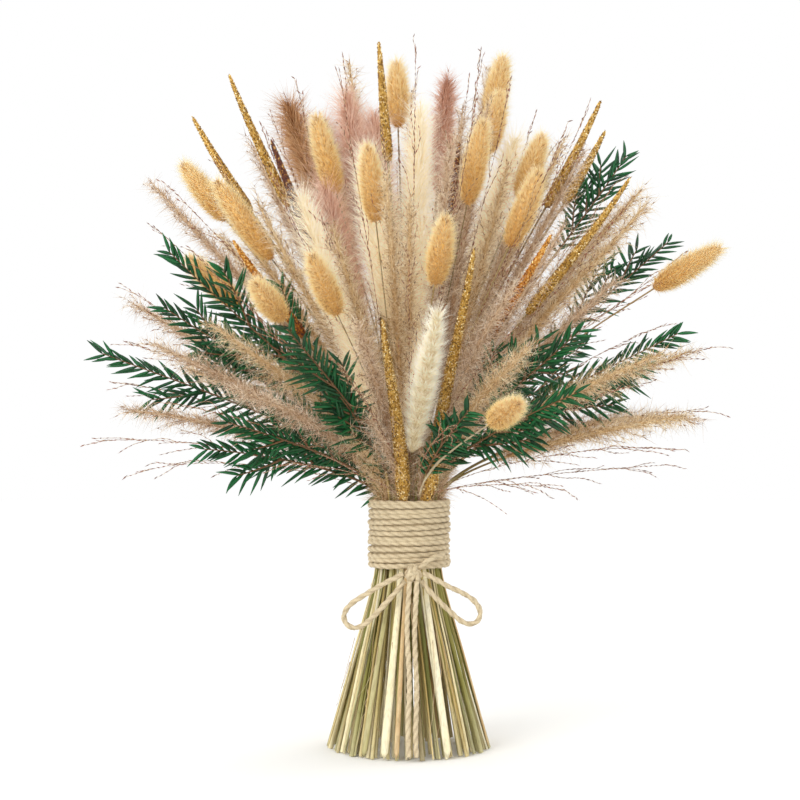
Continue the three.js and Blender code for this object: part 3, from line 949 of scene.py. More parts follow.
def straw_finish():
    """Bare stems, each with its own shade, streaked along and darker in places, with painted shade where they run
    up among the heads.
    """
    material, g, shader = finish_of("bare_straw", 0.55, **{"Specular IOR Level": 0.35})
    tone = named(g, "tone")
    shades = [(0.40, 0.40, 0.17), (0.52, 0.52, 0.25), (0.64, 0.61, 0.33), (0.50, 0.42, 0.24),
              (0.76, 0.69, 0.44), (0.84, 0.74, 0.46), (0.76, 0.58, 0.36), (0.88, 0.81, 0.58),
              (0.97, 0.92, 0.75), (0.99, 0.97, 0.88), (0.70, 0.62, 0.40)]
    base = g.ramp(tone, even(*shades, top=1.0))
    foot = g.clamp(1.0 - named(g, "t") * 5.0)  # paler towards the cut end
    base = g.mix(foot * 0.4, base, screen(0.98, 0.94, 0.78))
    streaks = grain_of(g, 900.0, 3.0, (1.0, 1.0, 0.03))
    blotches = grain_of(g, 70.0, 4.0, (1.0, 1.0, 0.35))
    dark = g.mix(0.5, base, screen(0.36, 0.30, 0.14))
    colour = g.mix(g.clamp((streaks - 0.45) * 3.5) * 0.6, base, dark)
    colour = g.mix(g.clamp((blotches - 0.52) * 4.0) * 0.55, colour, dark)
    shade_among_heads = g.clamp((g.split(place_on(g), 2) - TIE_TOP) * 50.0)  # painted shade: darker above the tie, among the heads
    colour = g.mix(shade_among_heads * 0.7, colour, screen(0.52, 0.42, 0.28))
    g.feed(shader.inputs["Base Color"], colour)
    bumped(g, shader, streaks, 0.5)
    return material


def jute_finish(shade, deep):
    """Jute twine: fibres along each ply, with painted shade in the groove between the plies and a painted
    highlight, near white, on their raised tops.
    """
    material, g, shader = finish_of("jute_twine", 0.9, **{"Sheen Weight": 0.15, "Sheen Roughness": 0.5})
    tone = named(g, "tone")
    fibre = grain_of(g, 2600.0, 2.0)
    patch = grain_of(g, 260.0, 3.0)
    # Painted shade: tone is low in the groove between the plies, so the groove takes the deep colour; the fibre and
    # patch noise are the jute's own.
    light = 1.1 * fibre + 0.5 * patch - 0.4 + 0.5 * g.clamp(tone * 2.2)
    mixed = g.mix(g.clamp(light), deep, shade)
    # Painted highlight: the plies' raised tops, where tone is high, turn near white.
    pale = g.mix(g.clamp((tone - 0.55) * 1.8), mixed, screen(0.95, 0.90, 0.78))
    g.feed(shader.inputs["Base Color"], pale)
    bumped(g, shader, fibre, 0.7)
    return material


def leaf_finish(deep, bright, stalk):
    """Preserved leaves: mottled green, deep or bright leaf by leaf, with a soft wax gloss, on a brown stalk."""
    material, g, shader = finish_of("leaf_green", 0.42, **{"Specular IOR Level": 0.45})
    tone, t = named(g, "tone"), g.clamp(named(g, "t"))
    mottle = grain_of(g, 500.0, 3.0)
    green = g.mix(g.clamp(tone * 0.7 + (mottle - 0.5) * 0.9 + 0.15 * t), deep, bright)
    brown = g.mix(mottle, stalk, screen(0.30, 0.20, 0.10))
    colour = g.mix(g.clamp((tone - (STALK_TONE - 0.07)) * 40.0), green, brown)
    g.feed(shader.inputs["Base Color"], colour)
    g.feed(shader.inputs["Roughness"], 0.32 + 0.25 * mottle)
    bumped(g, shader, mottle, 0.4, 0.2 * MM)
    return material


MADE = {}  # trees and materials that several pieces share


def shared(make, *given, **more):
    """What make returns, made once for the same values."""
    key = (make.__name__, repr(given), repr(more))
    if key not in MADE:
        MADE[key] = make(*given, **more)
    return MADE[key]


def smooth(mesh):
    mesh.shade_smooth()
    return mesh


def seeded(name):
    """Random numbers that are each piece's own and the same on every run."""
    return np.random.default_rng([ord(c) for c in name])


def own_seed(rng):
    """A piece's own seed for a tree."""
    return int(rng.integers(1, 9999))


def in_mm(numbers):
    """Numbers or points in millimetres, as metres."""
    return np.array(numbers, float) * MM


def straw(line, upto, radius, rng, tone, neck=0.5, step=7 * MM):
    """The bare stem of one plant as a mesh, from its cut end to inside its head."""
    count = max(8, int(upto / (8 * MM)))
    source = chains([line.at(np.linspace(0, upto, count))])
    own = {"Radius": float(radius * rng.uniform(0.7, 1.12))}
    spans = {"Ridge": (0.08, 0.3), "Flatness": (0.0, 0.45), "Joint_gap": (0.05, 0.09), "Turn": (0, 3)}
    for name, span in spans.items():
        own[name] = float(rng.uniform(*span))
    own["Wave"] = float(rng.uniform(0.1, 0.5)) * MM
    return smooth(grown(shared(bare_stem_tree), source, Neck=neck, Step=step, Tone=float(tone),
                        Seed=own_seed(rng), Material=shared(straw_finish), **own))


def nodes_of(kind):
    """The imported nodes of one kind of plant, in order."""
    found = [n for n in NODES if n == kind or (n.startswith(kind + "_") and n[len(kind) + 1:].isdigit())]
    return sorted(found, key=lambda n: (len(n), n))


def full_head(line, start, radius, profile, rng, material, hairs, tones=(0.3, 0.6), sides=10, rings=12,
              reach=None, **sizes):
    """A head that is a solid heart under a coat of this many hairs."""
    heart = core(line, start, radius, profile, rng, tones, sides, rings, reach)
    area = sum(face.area for face in heart.polygons)
    made = {"Density": hairs / area, "Seed": own_seed(rng), "Material": material, **sizes}
    return smooth(grown(shared(hair_coat_tree), heart, **made))


def filling_line(tip):
    """A filling stem's line that leans the way its tip, in millimetres, lies from the middle."""
    return filling_stem(math.atan2(tip[1], tip[0]), in_mm(tip))


def filling_head(line, part=HEAD_SHARE):
    """Where the head of a filling stem begins on its line, when it takes this part above the tie."""
    climb = 60  # the line's first points, which reach past the tie and only rise
    tie = np.interp(TIE_TOP, line.points[:climb, 2], line.lengths[:climb])
    return line.length - part * (line.length - tie)


# ---- what a user would change ----

def length_field(name, description, default, low=0.0, high=1.0):
    return FloatProperty(name=name, description=description, default=default, min=low, max=high,
                         unit="LENGTH", precision=5)


def number_field(name, description, default, high=3.0):
    return FloatProperty(name=name, description=description, default=default, min=0.0, max=high)


def count_field(name, description, default, low, high):
    return IntProperty(name=name, description=description, default=default, min=low, max=high)


def colour_field(name, description, *shade):
    return FloatVectorProperty(name=name, description=description, default=screen(*shade), size=4, min=0.0,
                               max=1.0, subtype="COLOR")


class TwineSettings(bpy.types.PropertyGroup):
    diameter: length_field("Diameter", "Thickness of the twine", TWINE_DIAMETER)
    lay_length: length_field("Lay length", "Length in which the two plies turn once", 0.013)
    turns: number_field("Turns", "Turns of twine round the waist", 13.3, 30)
    shade: colour_field("Jute", "Colour of the twine's raised fibres", 0.89, 0.82, 0.68)
    # deep is the darker fibres' colour and also the painted shade in the groove between the plies.
    deep: colour_field("Jute hollows", "Colour between the fibres", 0.58, 0.49, 0.35)


class BunnySettings(bpy.types.PropertyGroup):
    hair: length_field("Hair length", "Length of the hairs of a bunny tail", 0.0068)
    hair_width: length_field("Hair radius", "Radius of a hair at its root", 0.000137)
    hairs: count_field("Hairs", "Hairs on each head", 4000, 100, 20000)
    fullness: number_field("Fullness", "Width of the solid heart as a share of the packed head", 0.68)


class SpikeSettings(bpy.types.PropertyGroup):
    grain: length_field("Grain", "Size of one gilded seed", 0.0014)
    gap: length_field("Grain gap", "Least distance between seeds", 0.00072)


class PlumeSettings(bpy.types.PropertyGroup):
    branch: length_field("Branch length", "Length of the longest side branches", 0.02)
    hair: length_field("Hair length", "Length of a plume's silky hairs", 0.0145)
    hair_width: length_field("Hair radius", "Radius of a hair at its root", 0.00014)
    hairs: count_field("Hairs", "Hairs on a plume of 100 mm", 4600, 100, 20000)
    branches: count_field("Branches", "Side branches of each plume", 18, 5, 300)


class ReedSettings(bpy.types.PropertyGroup):
    branch: length_field("Branch length", "Length of the longest side branches", 0.027)
    hair: length_field("Hair length", "Length of the hairs of the head", 0.0102)
    hair_width: length_field("Hair radius", "Radius of a hair at its root", 0.00018)
    hairs: count_field("Hairs", "Hairs on a head of 120 mm", 1200, 100, 20000)
    branches: count_field("Branches", "Side branches of each reed", 30, 5, 300)


class SprigSettings(bpy.types.PropertyGroup):
    leaf: length_field("Leaf length", "Length of the longest leaves", 0.0185)
    leaf_width: length_field("Leaf half width", "Half the width of a leaf at its belly", 0.00108)
    gap: length_field("Leaf gap", "Distance between leaves along a sprig", 0.0021)
    deep: colour_field("Deep green", "Colour of the darker leaves", 0.02, 0.20, 0.09)
    bright: colour_field("Bright green", "Colour of the brighter leaves", 0.06, 0.47, 0.23)


class GrassSettings(bpy.types.PropertyGroup):
    grasses: count_field("Grasses", "Fine grasses between the heads", 66, 0, 300)
    branch: length_field("Branch length", "Length of a fine grass's side branches", 0.034)
    thickness: length_field("Branch radius", "Radius of a side branch at its root", 0.00019)


class StageSettings(bpy.types.PropertyGroup):
    distance: length_field("Camera distance", "From the camera to the bunch's middle", 1.2, 0.1, 10.0)
    floor: colour_field("Floor", "Colour of the floor", 0.97, 0.97, 0.96)
    key: number_field("Key light", "Power of the large light at the front left, in watts", 16.0, 1000)


# ---- the operators ----

class BUNCH_OT_stage(bpy.types.Operator):
    """Set up the camera, the soft lights and the pale floor"""

    bl_idname = "bunch.stage"
    bl_label = "Stage"

    def execute(self, context):
        settings = context.scene.bunch_stage
        scene = context.scene
        camera = bpy.data.objects.new("camera", bpy.data.cameras.new("camera"))
        camera.location = (VIEW_ACROSS, -settings.distance, VIEW_UP)
        camera.rotation_euler = (math.pi / 2, 0, 0)
        camera.data.sensor_width = SENSOR_WIDTH
        camera.data.lens = SENSOR_WIDTH * settings.distance / VIEW_WIDTH
        camera.data.clip_start = 0.01
        scene.collection.objects.link(camera)
        scene.camera = camera
        scene.view_settings.view_transform = "Standard"
        world = bpy.data.worlds.new("studio")
        world.use_nodes = True
        black, white = (0.0, 0.0, 0.0, 1.0), (1.0, 1.0, 1.0, 1.0)
        world.node_tree.nodes["Background"].inputs["Color"].default_value = white
        scene.world = world
        # each lamp's power in watts, its place and its width in metres
        lamps = {"key": (settings.key, (-1.1, -1.3, 1.25), 1.0),
                 "rim": (settings.key * 0.5, (1.2, 0.9, 1.2), 1.2)}
        for name, (power, at, wide) in lamps.items():
            lamp = bpy.data.lights.new(name, "AREA")
            lamp.energy, lamp.size = power, wide
            holder = bpy.data.objects.new(name, lamp)
            holder.location = at
            aim = Vector(LAMP_AIM) - Vector(at)
            holder.rotation_euler = aim.to_track_quat("-Z", "Y").to_euler()
            scene.collection.objects.link(holder)
        disc = bmesh.new()
        bmesh.ops.create_circle(disc, cap_ends=True, segments=128, radius=FLOOR_RADIUS)
        mesh = bpy.data.meshes.new("floor")
        disc.to_mesh(mesh)
        disc.free()
        material, g, shader = finish_of("floor_paper", 0.95, **{"Specular IOR Level": 0.1})
        away = g.node("ShaderNodeVectorMath", {"operation": "LENGTH"}, {0: place_on(g)}, "Value")
        far = g.clamp((away - 0.35) * 1.4)  # the floor brightens into the backdrop's white
        g.feed(shader.inputs["Base Color"], g.mix(far, tuple(settings.floor), black))
        g.feed(shader.inputs["Emission Color"], g.mix(far, black, white))
        shader.inputs["Emission Strength"].default_value = 1.0
        mesh.materials.append(material)
        floor = bpy.data.objects.new("floor", mesh)
        floor.location.z = -0.3 * MM
        scene.collection.objects.link(floor)
        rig.stage(floor)
        return {"FINISHED"}


def jute(settings):
    return shared(jute_finish, tuple(settings.shade), tuple(settings.deep))


def twisted(settings, points, rng, fibres=3.5e5, step=0.9 * MM):
    """A length of twine along points, in metres, with this many loose fibres to the square metre."""
    return smooth(grown(shared(twine_tree), chains([points]), Radius=settings.diameter / 2,
                        Lay_length=settings.lay_length, Fibres=fibres, Step=step, Seed=own_seed(rng),
                        Material=jute(settings)))


def drifting(rng, count, every, amount):
    """A row of random numbers that change slowly from one to the next."""
    marks = np.arange(0, count, every)
    return np.interp(np.arange(count), marks, rng.normal(0, amount, len(marks)))


class BUNCH_OT_bow(bpy.types.Operator):
    """Tie the bow: two loops and two cut tails of twine"""

    bl_idname = "bunch.bow"
    bl_label = "Bow"

    def execute(self, context):
        settings = context.scene.bunch_twine
        for name, route in TWINE_ROUTES.items():
            line = Line(in_mm(route), 6)
            cord = piece(name + "_twisted", [twisted(settings, line.points, seeded(name))], "jute", name)
            loop = name.startswith("bow")
            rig.cord(cord, exit=line.points[0], length=line.length, diameter=settings.diameter,
                    far_end="object" if loop else "bare", stiffness="limp",
                    lay="loose" if loop else "hanging", path=line.points)
        return {"FINISHED"}


class BUNCH_OT_wrap(bpy.types.Operator):
    """Wind the twine round the waist and knot it"""

    bl_idname = "bunch.wrap"
    bl_label = "Wrap and knot"

    def execute(self, context):
        settings = context.scene.bunch_twine
        rng = seeded("wrap")
        radius = settings.diameter / 2
        steps = int(settings.turns * 60)  # 60 points to a turn
        turn = np.linspace(0, settings.turns * 2 * math.pi, steps) - math.pi / 2
        low, high = TIE_BOTTOM + radius * 1.1, TIE_TOP - radius * 1.1
        edge = 0.85 / settings.turns  # the first and last turns lie level
        height = low + (high - low) * np.clip((np.linspace(0, 1, steps) - edge) / (1 - 2 * edge), 0, 1)
        height = np.clip(height + drifting(rng, steps, 17, 1) * 0.5 * MM, low, high)
        out = TIE_RADIUS - radius * 1.02 + drifting(rng, steps, 9, 0.36) * MM
        helix = np.stack([np.cos(turn) * out, np.sin(turn) * out, height], 1)
        # one strand comes down across the turns to the knot
        crossing = Line(in_mm([(3, -30.5, 111.5), (7, -29.2, 115.5), (11.5, -27.6, 119.0),
                               (15.5, -25.4, 121.0), (19.0, -22.0, 121.5), (21.5, -18.0, 121.0)]))
        band = self.lining(settings)
        wound = [twisted(settings, helix, rng, 2.6e5, 1.15 * MM), twisted(settings, crossing.points, rng)]
        piece("twine_wrap_wound", [*wound, band], "jute", "twine_wrap")
        knot = [twisted(settings, loop, rng, 4e5) for loop in self.knot_loops(radius)]
        piece("twine_knot_tied", knot, "jute", "twine_knot")
        return {"FINISHED"}

    def knot_loops(self, radius):
        """Three upright loops side by side and one level loop around them."""
        low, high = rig.box("twine_knot")
        low, high = np.array(low) - [0, 0, 2.4 * MM], np.array(high)  # down to the tops of the tails
        middle, half = (low + high) / 2, (high - low) / 2
        angle = np.linspace(0, 1, 40) * 2 * math.pi
        loops = []
        for across, tilt, start in ((0.0, 0.25, 0.0), (0.5, -0.2, 0.9), (-0.55, 0.1, 1.8)):
            turn = angle + start
            loops.append(middle + np.stack([(across + tilt * np.sin(turn)) * (half[0] - radius),
                                            np.cos(turn) * (half[1] - radius),
                                            np.sin(turn) * (half[2] - radius * 0.9)], 1))
        around = middle + np.stack([np.sin(angle) * (half[0] - radius),
                                    -np.cos(angle) * (half[1] - radius * 0.7),
                                    np.sin(2 * angle + 0.6) * half[2] * 0.25], 1)
        return [*loops, around]

    def lining(self, settings):
        """A closed ring behind the turns, so that no light shows between them."""
        solid = bmesh.new()
        inner, outer = TIE_RADIUS * 0.84, TIE_RADIUS * 0.915
        low, high = TIE_BOTTOM + 1.5 * MM, TIE_TOP - 1.5 * MM
        corners = [(inner, low), (outer, low), (outer, high), (inner, high)]
        sides = 48
        rings = [[solid.verts.new((r * math.cos(a), r * math.sin(a), z)) for r, z in corners]
                 for a in (2 * math.pi * i / sides for i in range(sides))]
        for i in range(sides):
            here, there = rings[i], rings[(i + 1) % sides]
            for j in range(4):
                solid.faces.new((here[j], there[j], there[(j + 1) % 4], here[(j + 1) % 4]))
        bmesh.ops.recalc_face_normals(solid, faces=solid.faces)
        mesh = bpy.data.meshes.new("lining")
        solid.to_mesh(mesh)
        solid.free()
        # It carries no tone, so the jute finish gives it the groove's colour: painted shade where it shows between the
        # turns.
        mesh.materials.append(jute(settings))
        return mesh


class BUNCH_OT_bunny_tails(bpy.types.Operator):
    """Grow the bunny tails: golden egg-shaped heads of fine hair"""

    bl_idname = "bunch.bunny_tails"
    bl_label = "Bunny tails"

    def execute(self, context):
        settings = context.scene.bunch_bunny
        fluff = shared(hair_finish, "bunny_fluff",
                       ((0.74, 0.51, 0.19), (0.87, 0.66, 0.31), (0.93, 0.76, 0.43)),
                       ((0.97, 0.83, 0.51), (1.0, 0.91, 0.66), (1.0, 0.96, 0.80)),
                       ((0.50, 0.30, 0.12), (0.62, 0.40, 0.18)),
                       roughness=0.9, fall=0.75, glow=0.16, **{"Sheen Weight": 0.25})
        for name in nodes_of("bunny_tail"):
            rng = seeded(name)
            line, start, radius, stem = packed_stem(name)
            head = full_head(line, start, radius * settings.fullness, egg, rng, fluff, settings.hairs,
                             (0.15, 0.8), reach=lambda s: 0.62 + 0.55 * s, Length=settings.hair,
                             Width=settings.hair_width, Lean=0.46, Scatter=0.3, Sway=0.28, Tone_spread=0.4,
                             Flecks=0.07)
            stalk = straw(line, start + 4 * MM, stem, rng, rng.uniform(0, 1), 0.45)
            piece(name + "_whole", [head, stalk], "bunny_fluff", name)
        return {"FINISHED"}


class BUNCH_OT_spikes(bpy.types.Operator):
    """Grow the gilded seed spikes"""

    bl_idname = "bunch.spikes"
    bl_label = "Gilded spikes"

    # slot, tones at the foot and the tip of a head, and colours from low to high tone
    SHADES = {
        "gold_spike": ("gilt", (0.5, 0.55), [
            (0.20, 0.12, 0.05), (0.52, 0.36, 0.13), (0.74, 0.57, 0.25), (0.87, 0.73, 0.42),
            (1.0, 0.96, 0.80)]),
        "bronze_spike": ("bronze_gilt", (0.3, 0.5), [
            (0.17, 0.08, 0.09), (0.30, 0.16, 0.16), (0.44, 0.26, 0.19), (0.76, 0.54, 0.24),
            (0.95, 0.82, 0.52)]),
        "copper_spike": ("copper_gilt", (0.3, 0.75), [
            (0.22, 0.10, 0.08), (0.46, 0.25, 0.12), (0.72, 0.44, 0.14), (0.84, 0.60, 0.24),
            (0.98, 0.86, 0.58)]),
    }
    REACH_DOWN = {"gold_spike_7": 34, "gold_spike_8": 40}  # heads whose seeds run on down the stem, mm
    # how far the spikes in front bow out between the tie and the tip, mm
    BOW_OUT = {"gold_spike_7": (11, -8, 0), "gold_spike_8": (-1, -9, 0), "bronze_spike_1": (0, -14, 0),
               "bronze_spike_2": (0, -14, 0), "copper_spike_1": (0, -12, 0), "copper_spike_2": (0, -12, 0)}

    def execute(self, context):
        settings = context.scene.bunch_spike
        for kind, (slot, tones, shades) in self.SHADES.items():
            metal = shared(gilt_finish, slot, *shades)
            for name in nodes_of(kind):
                rng = seeded(name)
                line, start, radius, stem = packed_stem(name)
                start -= self.REACH_DOWN.get(name, 6) * MM
                if name in self.BOW_OUT:
                    line = bowed(line, in_mm(self.BOW_OUT[name]))
                heart = core(line, start, radius * 1.12, taper, rng, tones, rings=26)
                head = grown(shared(grain_tree), heart, Gap=settings.gap, Grain=settings.grain,
                             Seed=own_seed(rng), Material=metal)
                stalk = straw(line, start + 4 * MM, stem, rng, rng.uniform(0.3, 0.6), 0.6)
                piece(name + "_whole", [head, stalk], slot, name)
        return {"FINISHED"}


class BUNCH_OT_foxtail(bpy.types.Operator):
    """Grow the white foxtail plume, with its hair in tufts"""

    bl_idname = "bunch.foxtail"
    bl_label = "Foxtail"

    def execute(self, context):
        fluff = shared(hair_finish, "white_fluff",
                       ((0.74, 0.65, 0.45), (0.87, 0.80, 0.63), (0.95, 0.91, 0.79)),
                       ((0.97, 0.93, 0.82), (1.0, 0.98, 0.90), (1.0, 0.99, 0.95)),
                       roughness=0.85, fall=0.7, glow=0.19)
        name = "foxtail_plume"
        rng = seeded(name)
        line, start, radius, stem = packed_stem(name)
        start -= 18 * MM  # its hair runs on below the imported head
        hairs, hair, hair_width = 6800, 11.2 * MM, 0.18 * MM
        tufts = 34.0  # ripples of longer and shorter hair from the foot to the tip
        head = full_head(line, start, radius * 0.5, brush, rng, fluff, hairs, sides=14, rings=66,
                         reach=lambda s: 0.35 + 0.9 * np.sin(s * tufts) ** 2, Length=hair, Width=hair_width,
                         Lean=0.58, Scatter=0.22, Sway=0.1, Tone_spread=0.3)
        piece(name + "_whole", [head, straw(line, start + 4 * MM, stem, rng, 0.3, 0.6)], "white_plume", name)
        return {"FINISHED"}


def feathered(line, start, rng, material, count, long, spread, **sizes):
    """A spine and its side branches, clothed in hair and spikelets."""
    branches = side_branches(line, start, count, rng, spread, long)
    spine = line.at(np.linspace(start, line.length, 24))
    tones = np.clip(rng.normal(0.45, 0.16, count + 1), 0.05, 0.8)
    made = {"Thickness": 0.0002, "Hair_gap": 0.00072, "Length": 0.008, "Width": 0.00015, "Lean": 0.5,
            "Scatter": 0.85, "Sway": 0.55, "Droop": 0.08, "Tone_spread": 0.45, "Spikelet_gap": 0.0052,
            "Spikelet_length": 0.0033, "Spikelet_width": 0.0006, "Seed": own_seed(rng),
            "Material": material, **sizes}
    return smooth(grown(shared(feathering_tree), chains([spine, *branches], tones), **made))


class BUNCH_OT_plumes(bpy.types.Operator):
    """Grow the soft cream, brown and mauve plumes"""

    bl_idname = "bunch.plumes"
    bl_label = "Soft plumes"

    # two plumes of their own: tones at the foot and the tip, where a low one is dark, and hair length
    TONES = {"mauve_plume_2": (0.95, 0.05), "brown_plume": (0.75, 0.1)}
    HAIR_LENGTHS = {"mauve_plume_2": 0.75}
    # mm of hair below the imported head, the heart's radius in mm, the hair's length and number as shares of
    # the settings, and what the trees take
    PALE = {"down": 12, "heart": 2.8, "longer": 1.3, "more": 0.8, "tones": (0.35, 0.65), "lean": 0.56,
            "scatter": 0.3, "seed_gap": 30 * MM}
    DARK = {"down": 16, "heart": 3.2, "longer": 1.25, "more": 1.0, "tones": (0.05, 0.85), "lean": 0.5,
            "scatter": 0.42, "seed_gap": 8 * MM}

    def execute(self, context):
        settings = context.scene.bunch_plume
        dark = ((0.42, 0.24, 0.16), (0.55, 0.36, 0.26))
        cream = shared(hair_finish, "cream_fluff",
                       ((0.84, 0.74, 0.55), (0.91, 0.84, 0.68), (0.95, 0.90, 0.78)),
                       ((0.97, 0.91, 0.78), (1.0, 0.96, 0.87), (1.0, 0.98, 0.93)),
                       ((0.86, 0.78, 0.62), (0.92, 0.86, 0.72)), fall=0.7, glow=0.25)
        brown = shared(hair_finish, "brown_fluff",
                       ((0.50, 0.29, 0.13), (0.64, 0.42, 0.24), (0.76, 0.57, 0.38)),
                       ((0.80, 0.58, 0.36), (0.90, 0.72, 0.52), (0.97, 0.87, 0.72)), dark, glow=0.13)
        mauve = shared(hair_finish, "mauve_fluff",
                       ((0.56, 0.31, 0.20), (0.75, 0.50, 0.38), (0.86, 0.67, 0.55)),
                       ((0.86, 0.63, 0.50), (0.96, 0.80, 0.70), (1.0, 0.93, 0.87)), dark, glow=0.15)
        for kind, material in (("cream_plume", cream), ("brown_plume", brown), ("mauve_plume", mauve)):
            for name in nodes_of(kind):
                rng = seeded(name)
                line, start, _, stem = packed_stem(name)
                self.grow(name + "_whole", kind, line, start, stem, rng, material, settings, name)
        for i, tip in enumerate(FILLING_CREAM):
            line = filling_line(tip)
            self.grow(f"cream_plume_{i + 4}_whole", "cream_plume", line, filling_head(line),
                      FILLING_RADII["cream"], seeded(f"cream{i}"), cream, settings)
        for i, tip in enumerate(FILLING_MAUVE):
            line = filling_line(tip)
            self.grow(f"mauve_plume_{i + 3}_whole", "mauve_plume", line, line.length - MAUVE_HEAD,
                      FILLING_RADII["mauve"], seeded(f"mauve{i}"), mauve, settings)
        return {"FINISHED"}

    def grow(self, name, slot, line, start, stem, rng, material, settings, *stood_for):
        """One plume: a coat of hair on a slim heart, side branches in it, and its stem."""
        made = self.PALE if slot == "cream_plume" else self.DARK
        plain = name.replace("_whole", "")
        start -= made["down"] * MM
        hairs = settings.hairs * made["more"] * (line.length - start) / (100 * MM)
        hair = settings.hair * self.HAIR_LENGTHS.get(plain, made["longer"])
        fluff = full_head(line, start, made["heart"] * MM, brush, rng, material, hairs,
                          self.TONES.get(plain, made["tones"]), Length=hair, Width=settings.hair_width * 1.15,
                          Lean=made["lean"], Scatter=made["scatter"], Sway=0.3, Droop=0.04, Tone_spread=0.36)
        twigs = feathered(line, start, rng, material, settings.branches, settings.branch, 0.4,
                          Length=9 * MM, Spikelet_gap=made["seed_gap"])
        stalk = straw(line, start + 8 * MM, stem, rng, rng.uniform(0, 1), 0.6)
        piece(name, [fluff, twigs, stalk], slot, *stood_for)


class BUNCH_OT_reeds(bpy.types.Operator):
    """Grow the feathery reed plumes that fill the bunch"""

    bl_idname = "bunch.reeds"
    bl_label = "Reeds"

    HEART_RADIUS = 1.5 * MM

    def execute(self, context):
        settings = context.scene.bunch_reed
        dark = ((0.36, 0.23, 0.15), (0.56, 0.40, 0.28))
        taupe = shared(hair_finish, "reed_fluff",
                       ((0.50, 0.36, 0.25), (0.66, 0.52, 0.39), (0.78, 0.66, 0.52), (0.88, 0.79, 0.66)),
                       ((0.70, 0.56, 0.44), (0.86, 0.74, 0.61), (0.95, 0.87, 0.76), (1.0, 0.97, 0.92)),
                       dark, fall=0.8, glow=0.16)
        tan = shared(hair_finish, "reed_fluff_warm",
                     ((0.56, 0.41, 0.25), (0.72, 0.57, 0.38), (0.82, 0.70, 0.51), (0.91, 0.82, 0.65)),
                     ((0.78, 0.63, 0.44), (0.91, 0.79, 0.60), (0.97, 0.90, 0.76), (1.0, 0.98, 0.90)),
                     dark, fall=0.8, glow=0.16)
        for i, name in enumerate(nodes_of("reed_plume")):
            rng = seeded(name)
            line, start, _, stem = packed_stem(name)
            self.grow(name + "_whole", line, start, stem, rng, (taupe, tan)[i % 3 == 0], settings, name)
        tips = [in_mm(tip) for tip in FILLING_REEDS]
        for i in range(COLLAR_REEDS):
            turn, rng = (i + 0.4) * 2 * math.pi / COLLAR_REEDS, seeded(f"collar{i}")
            out, up = rng.uniform(64, 96) * MM, rng.uniform(40, 104) * MM
            tip = np.array([out * math.cos(turn), out * math.sin(turn) * 0.85, TIE_TOP + up])
            if tip[1] > 0 or abs(tip[0]) > 32 * MM:  # the lowest gilded spikes stay clear in front
                tips.append(tip)
        tips += [in_mm(tip) for tip in FRONT_REEDS]
        for i, tip in enumerate(tips):
            rng = seeded(f"reed{i}")
            line = filling_stem(math.atan2(tip[1], tip[0]) + rng.uniform(-0.15, 0.15), tip,
                                arch=12 * MM, out=0.74, foot_out=rng.uniform(0.86, 0.98))
            low = i >= len(FILLING_REEDS)
            start = filling_head(line, LOW_HEAD_SHARE if low else HEAD_SHARE)
            self.grow(f"reed_plume_{i + 8}_whole", line, start, FILLING_RADII["reed"], rng,
                      (taupe, tan)[i % 2], settings, profile=stub if low else brush)
        return {"FINISHED"}

    def grow(self, name, line, start, stem, rng, material, settings, *stood_for, profile=brush):
        """One reed: loose hair on a thin heart, side branches with spikelets, and its stem."""
        long = (line.length - start) / (120 * MM)
        fluff = full_head(line, start, self.HEART_RADIUS, profile, rng, material, settings.hairs * long,
                          (0.15, 0.7), Length=settings.hair, Width=settings.hair_width, Lean=0.55,
                          Scatter=0.74, Sway=0.6, Droop=0.05, Tone_spread=0.45, Flecks=0.04)
        twigs = feathered(line, start, rng, material, int(settings.branches * long), settings.branch, 0.56)
        stalk = straw(line, start + 8 * MM, stem, rng, rng.uniform(0, 1))
        piece(name, [fluff, twigs, stalk], "reed_straw", *stood_for)


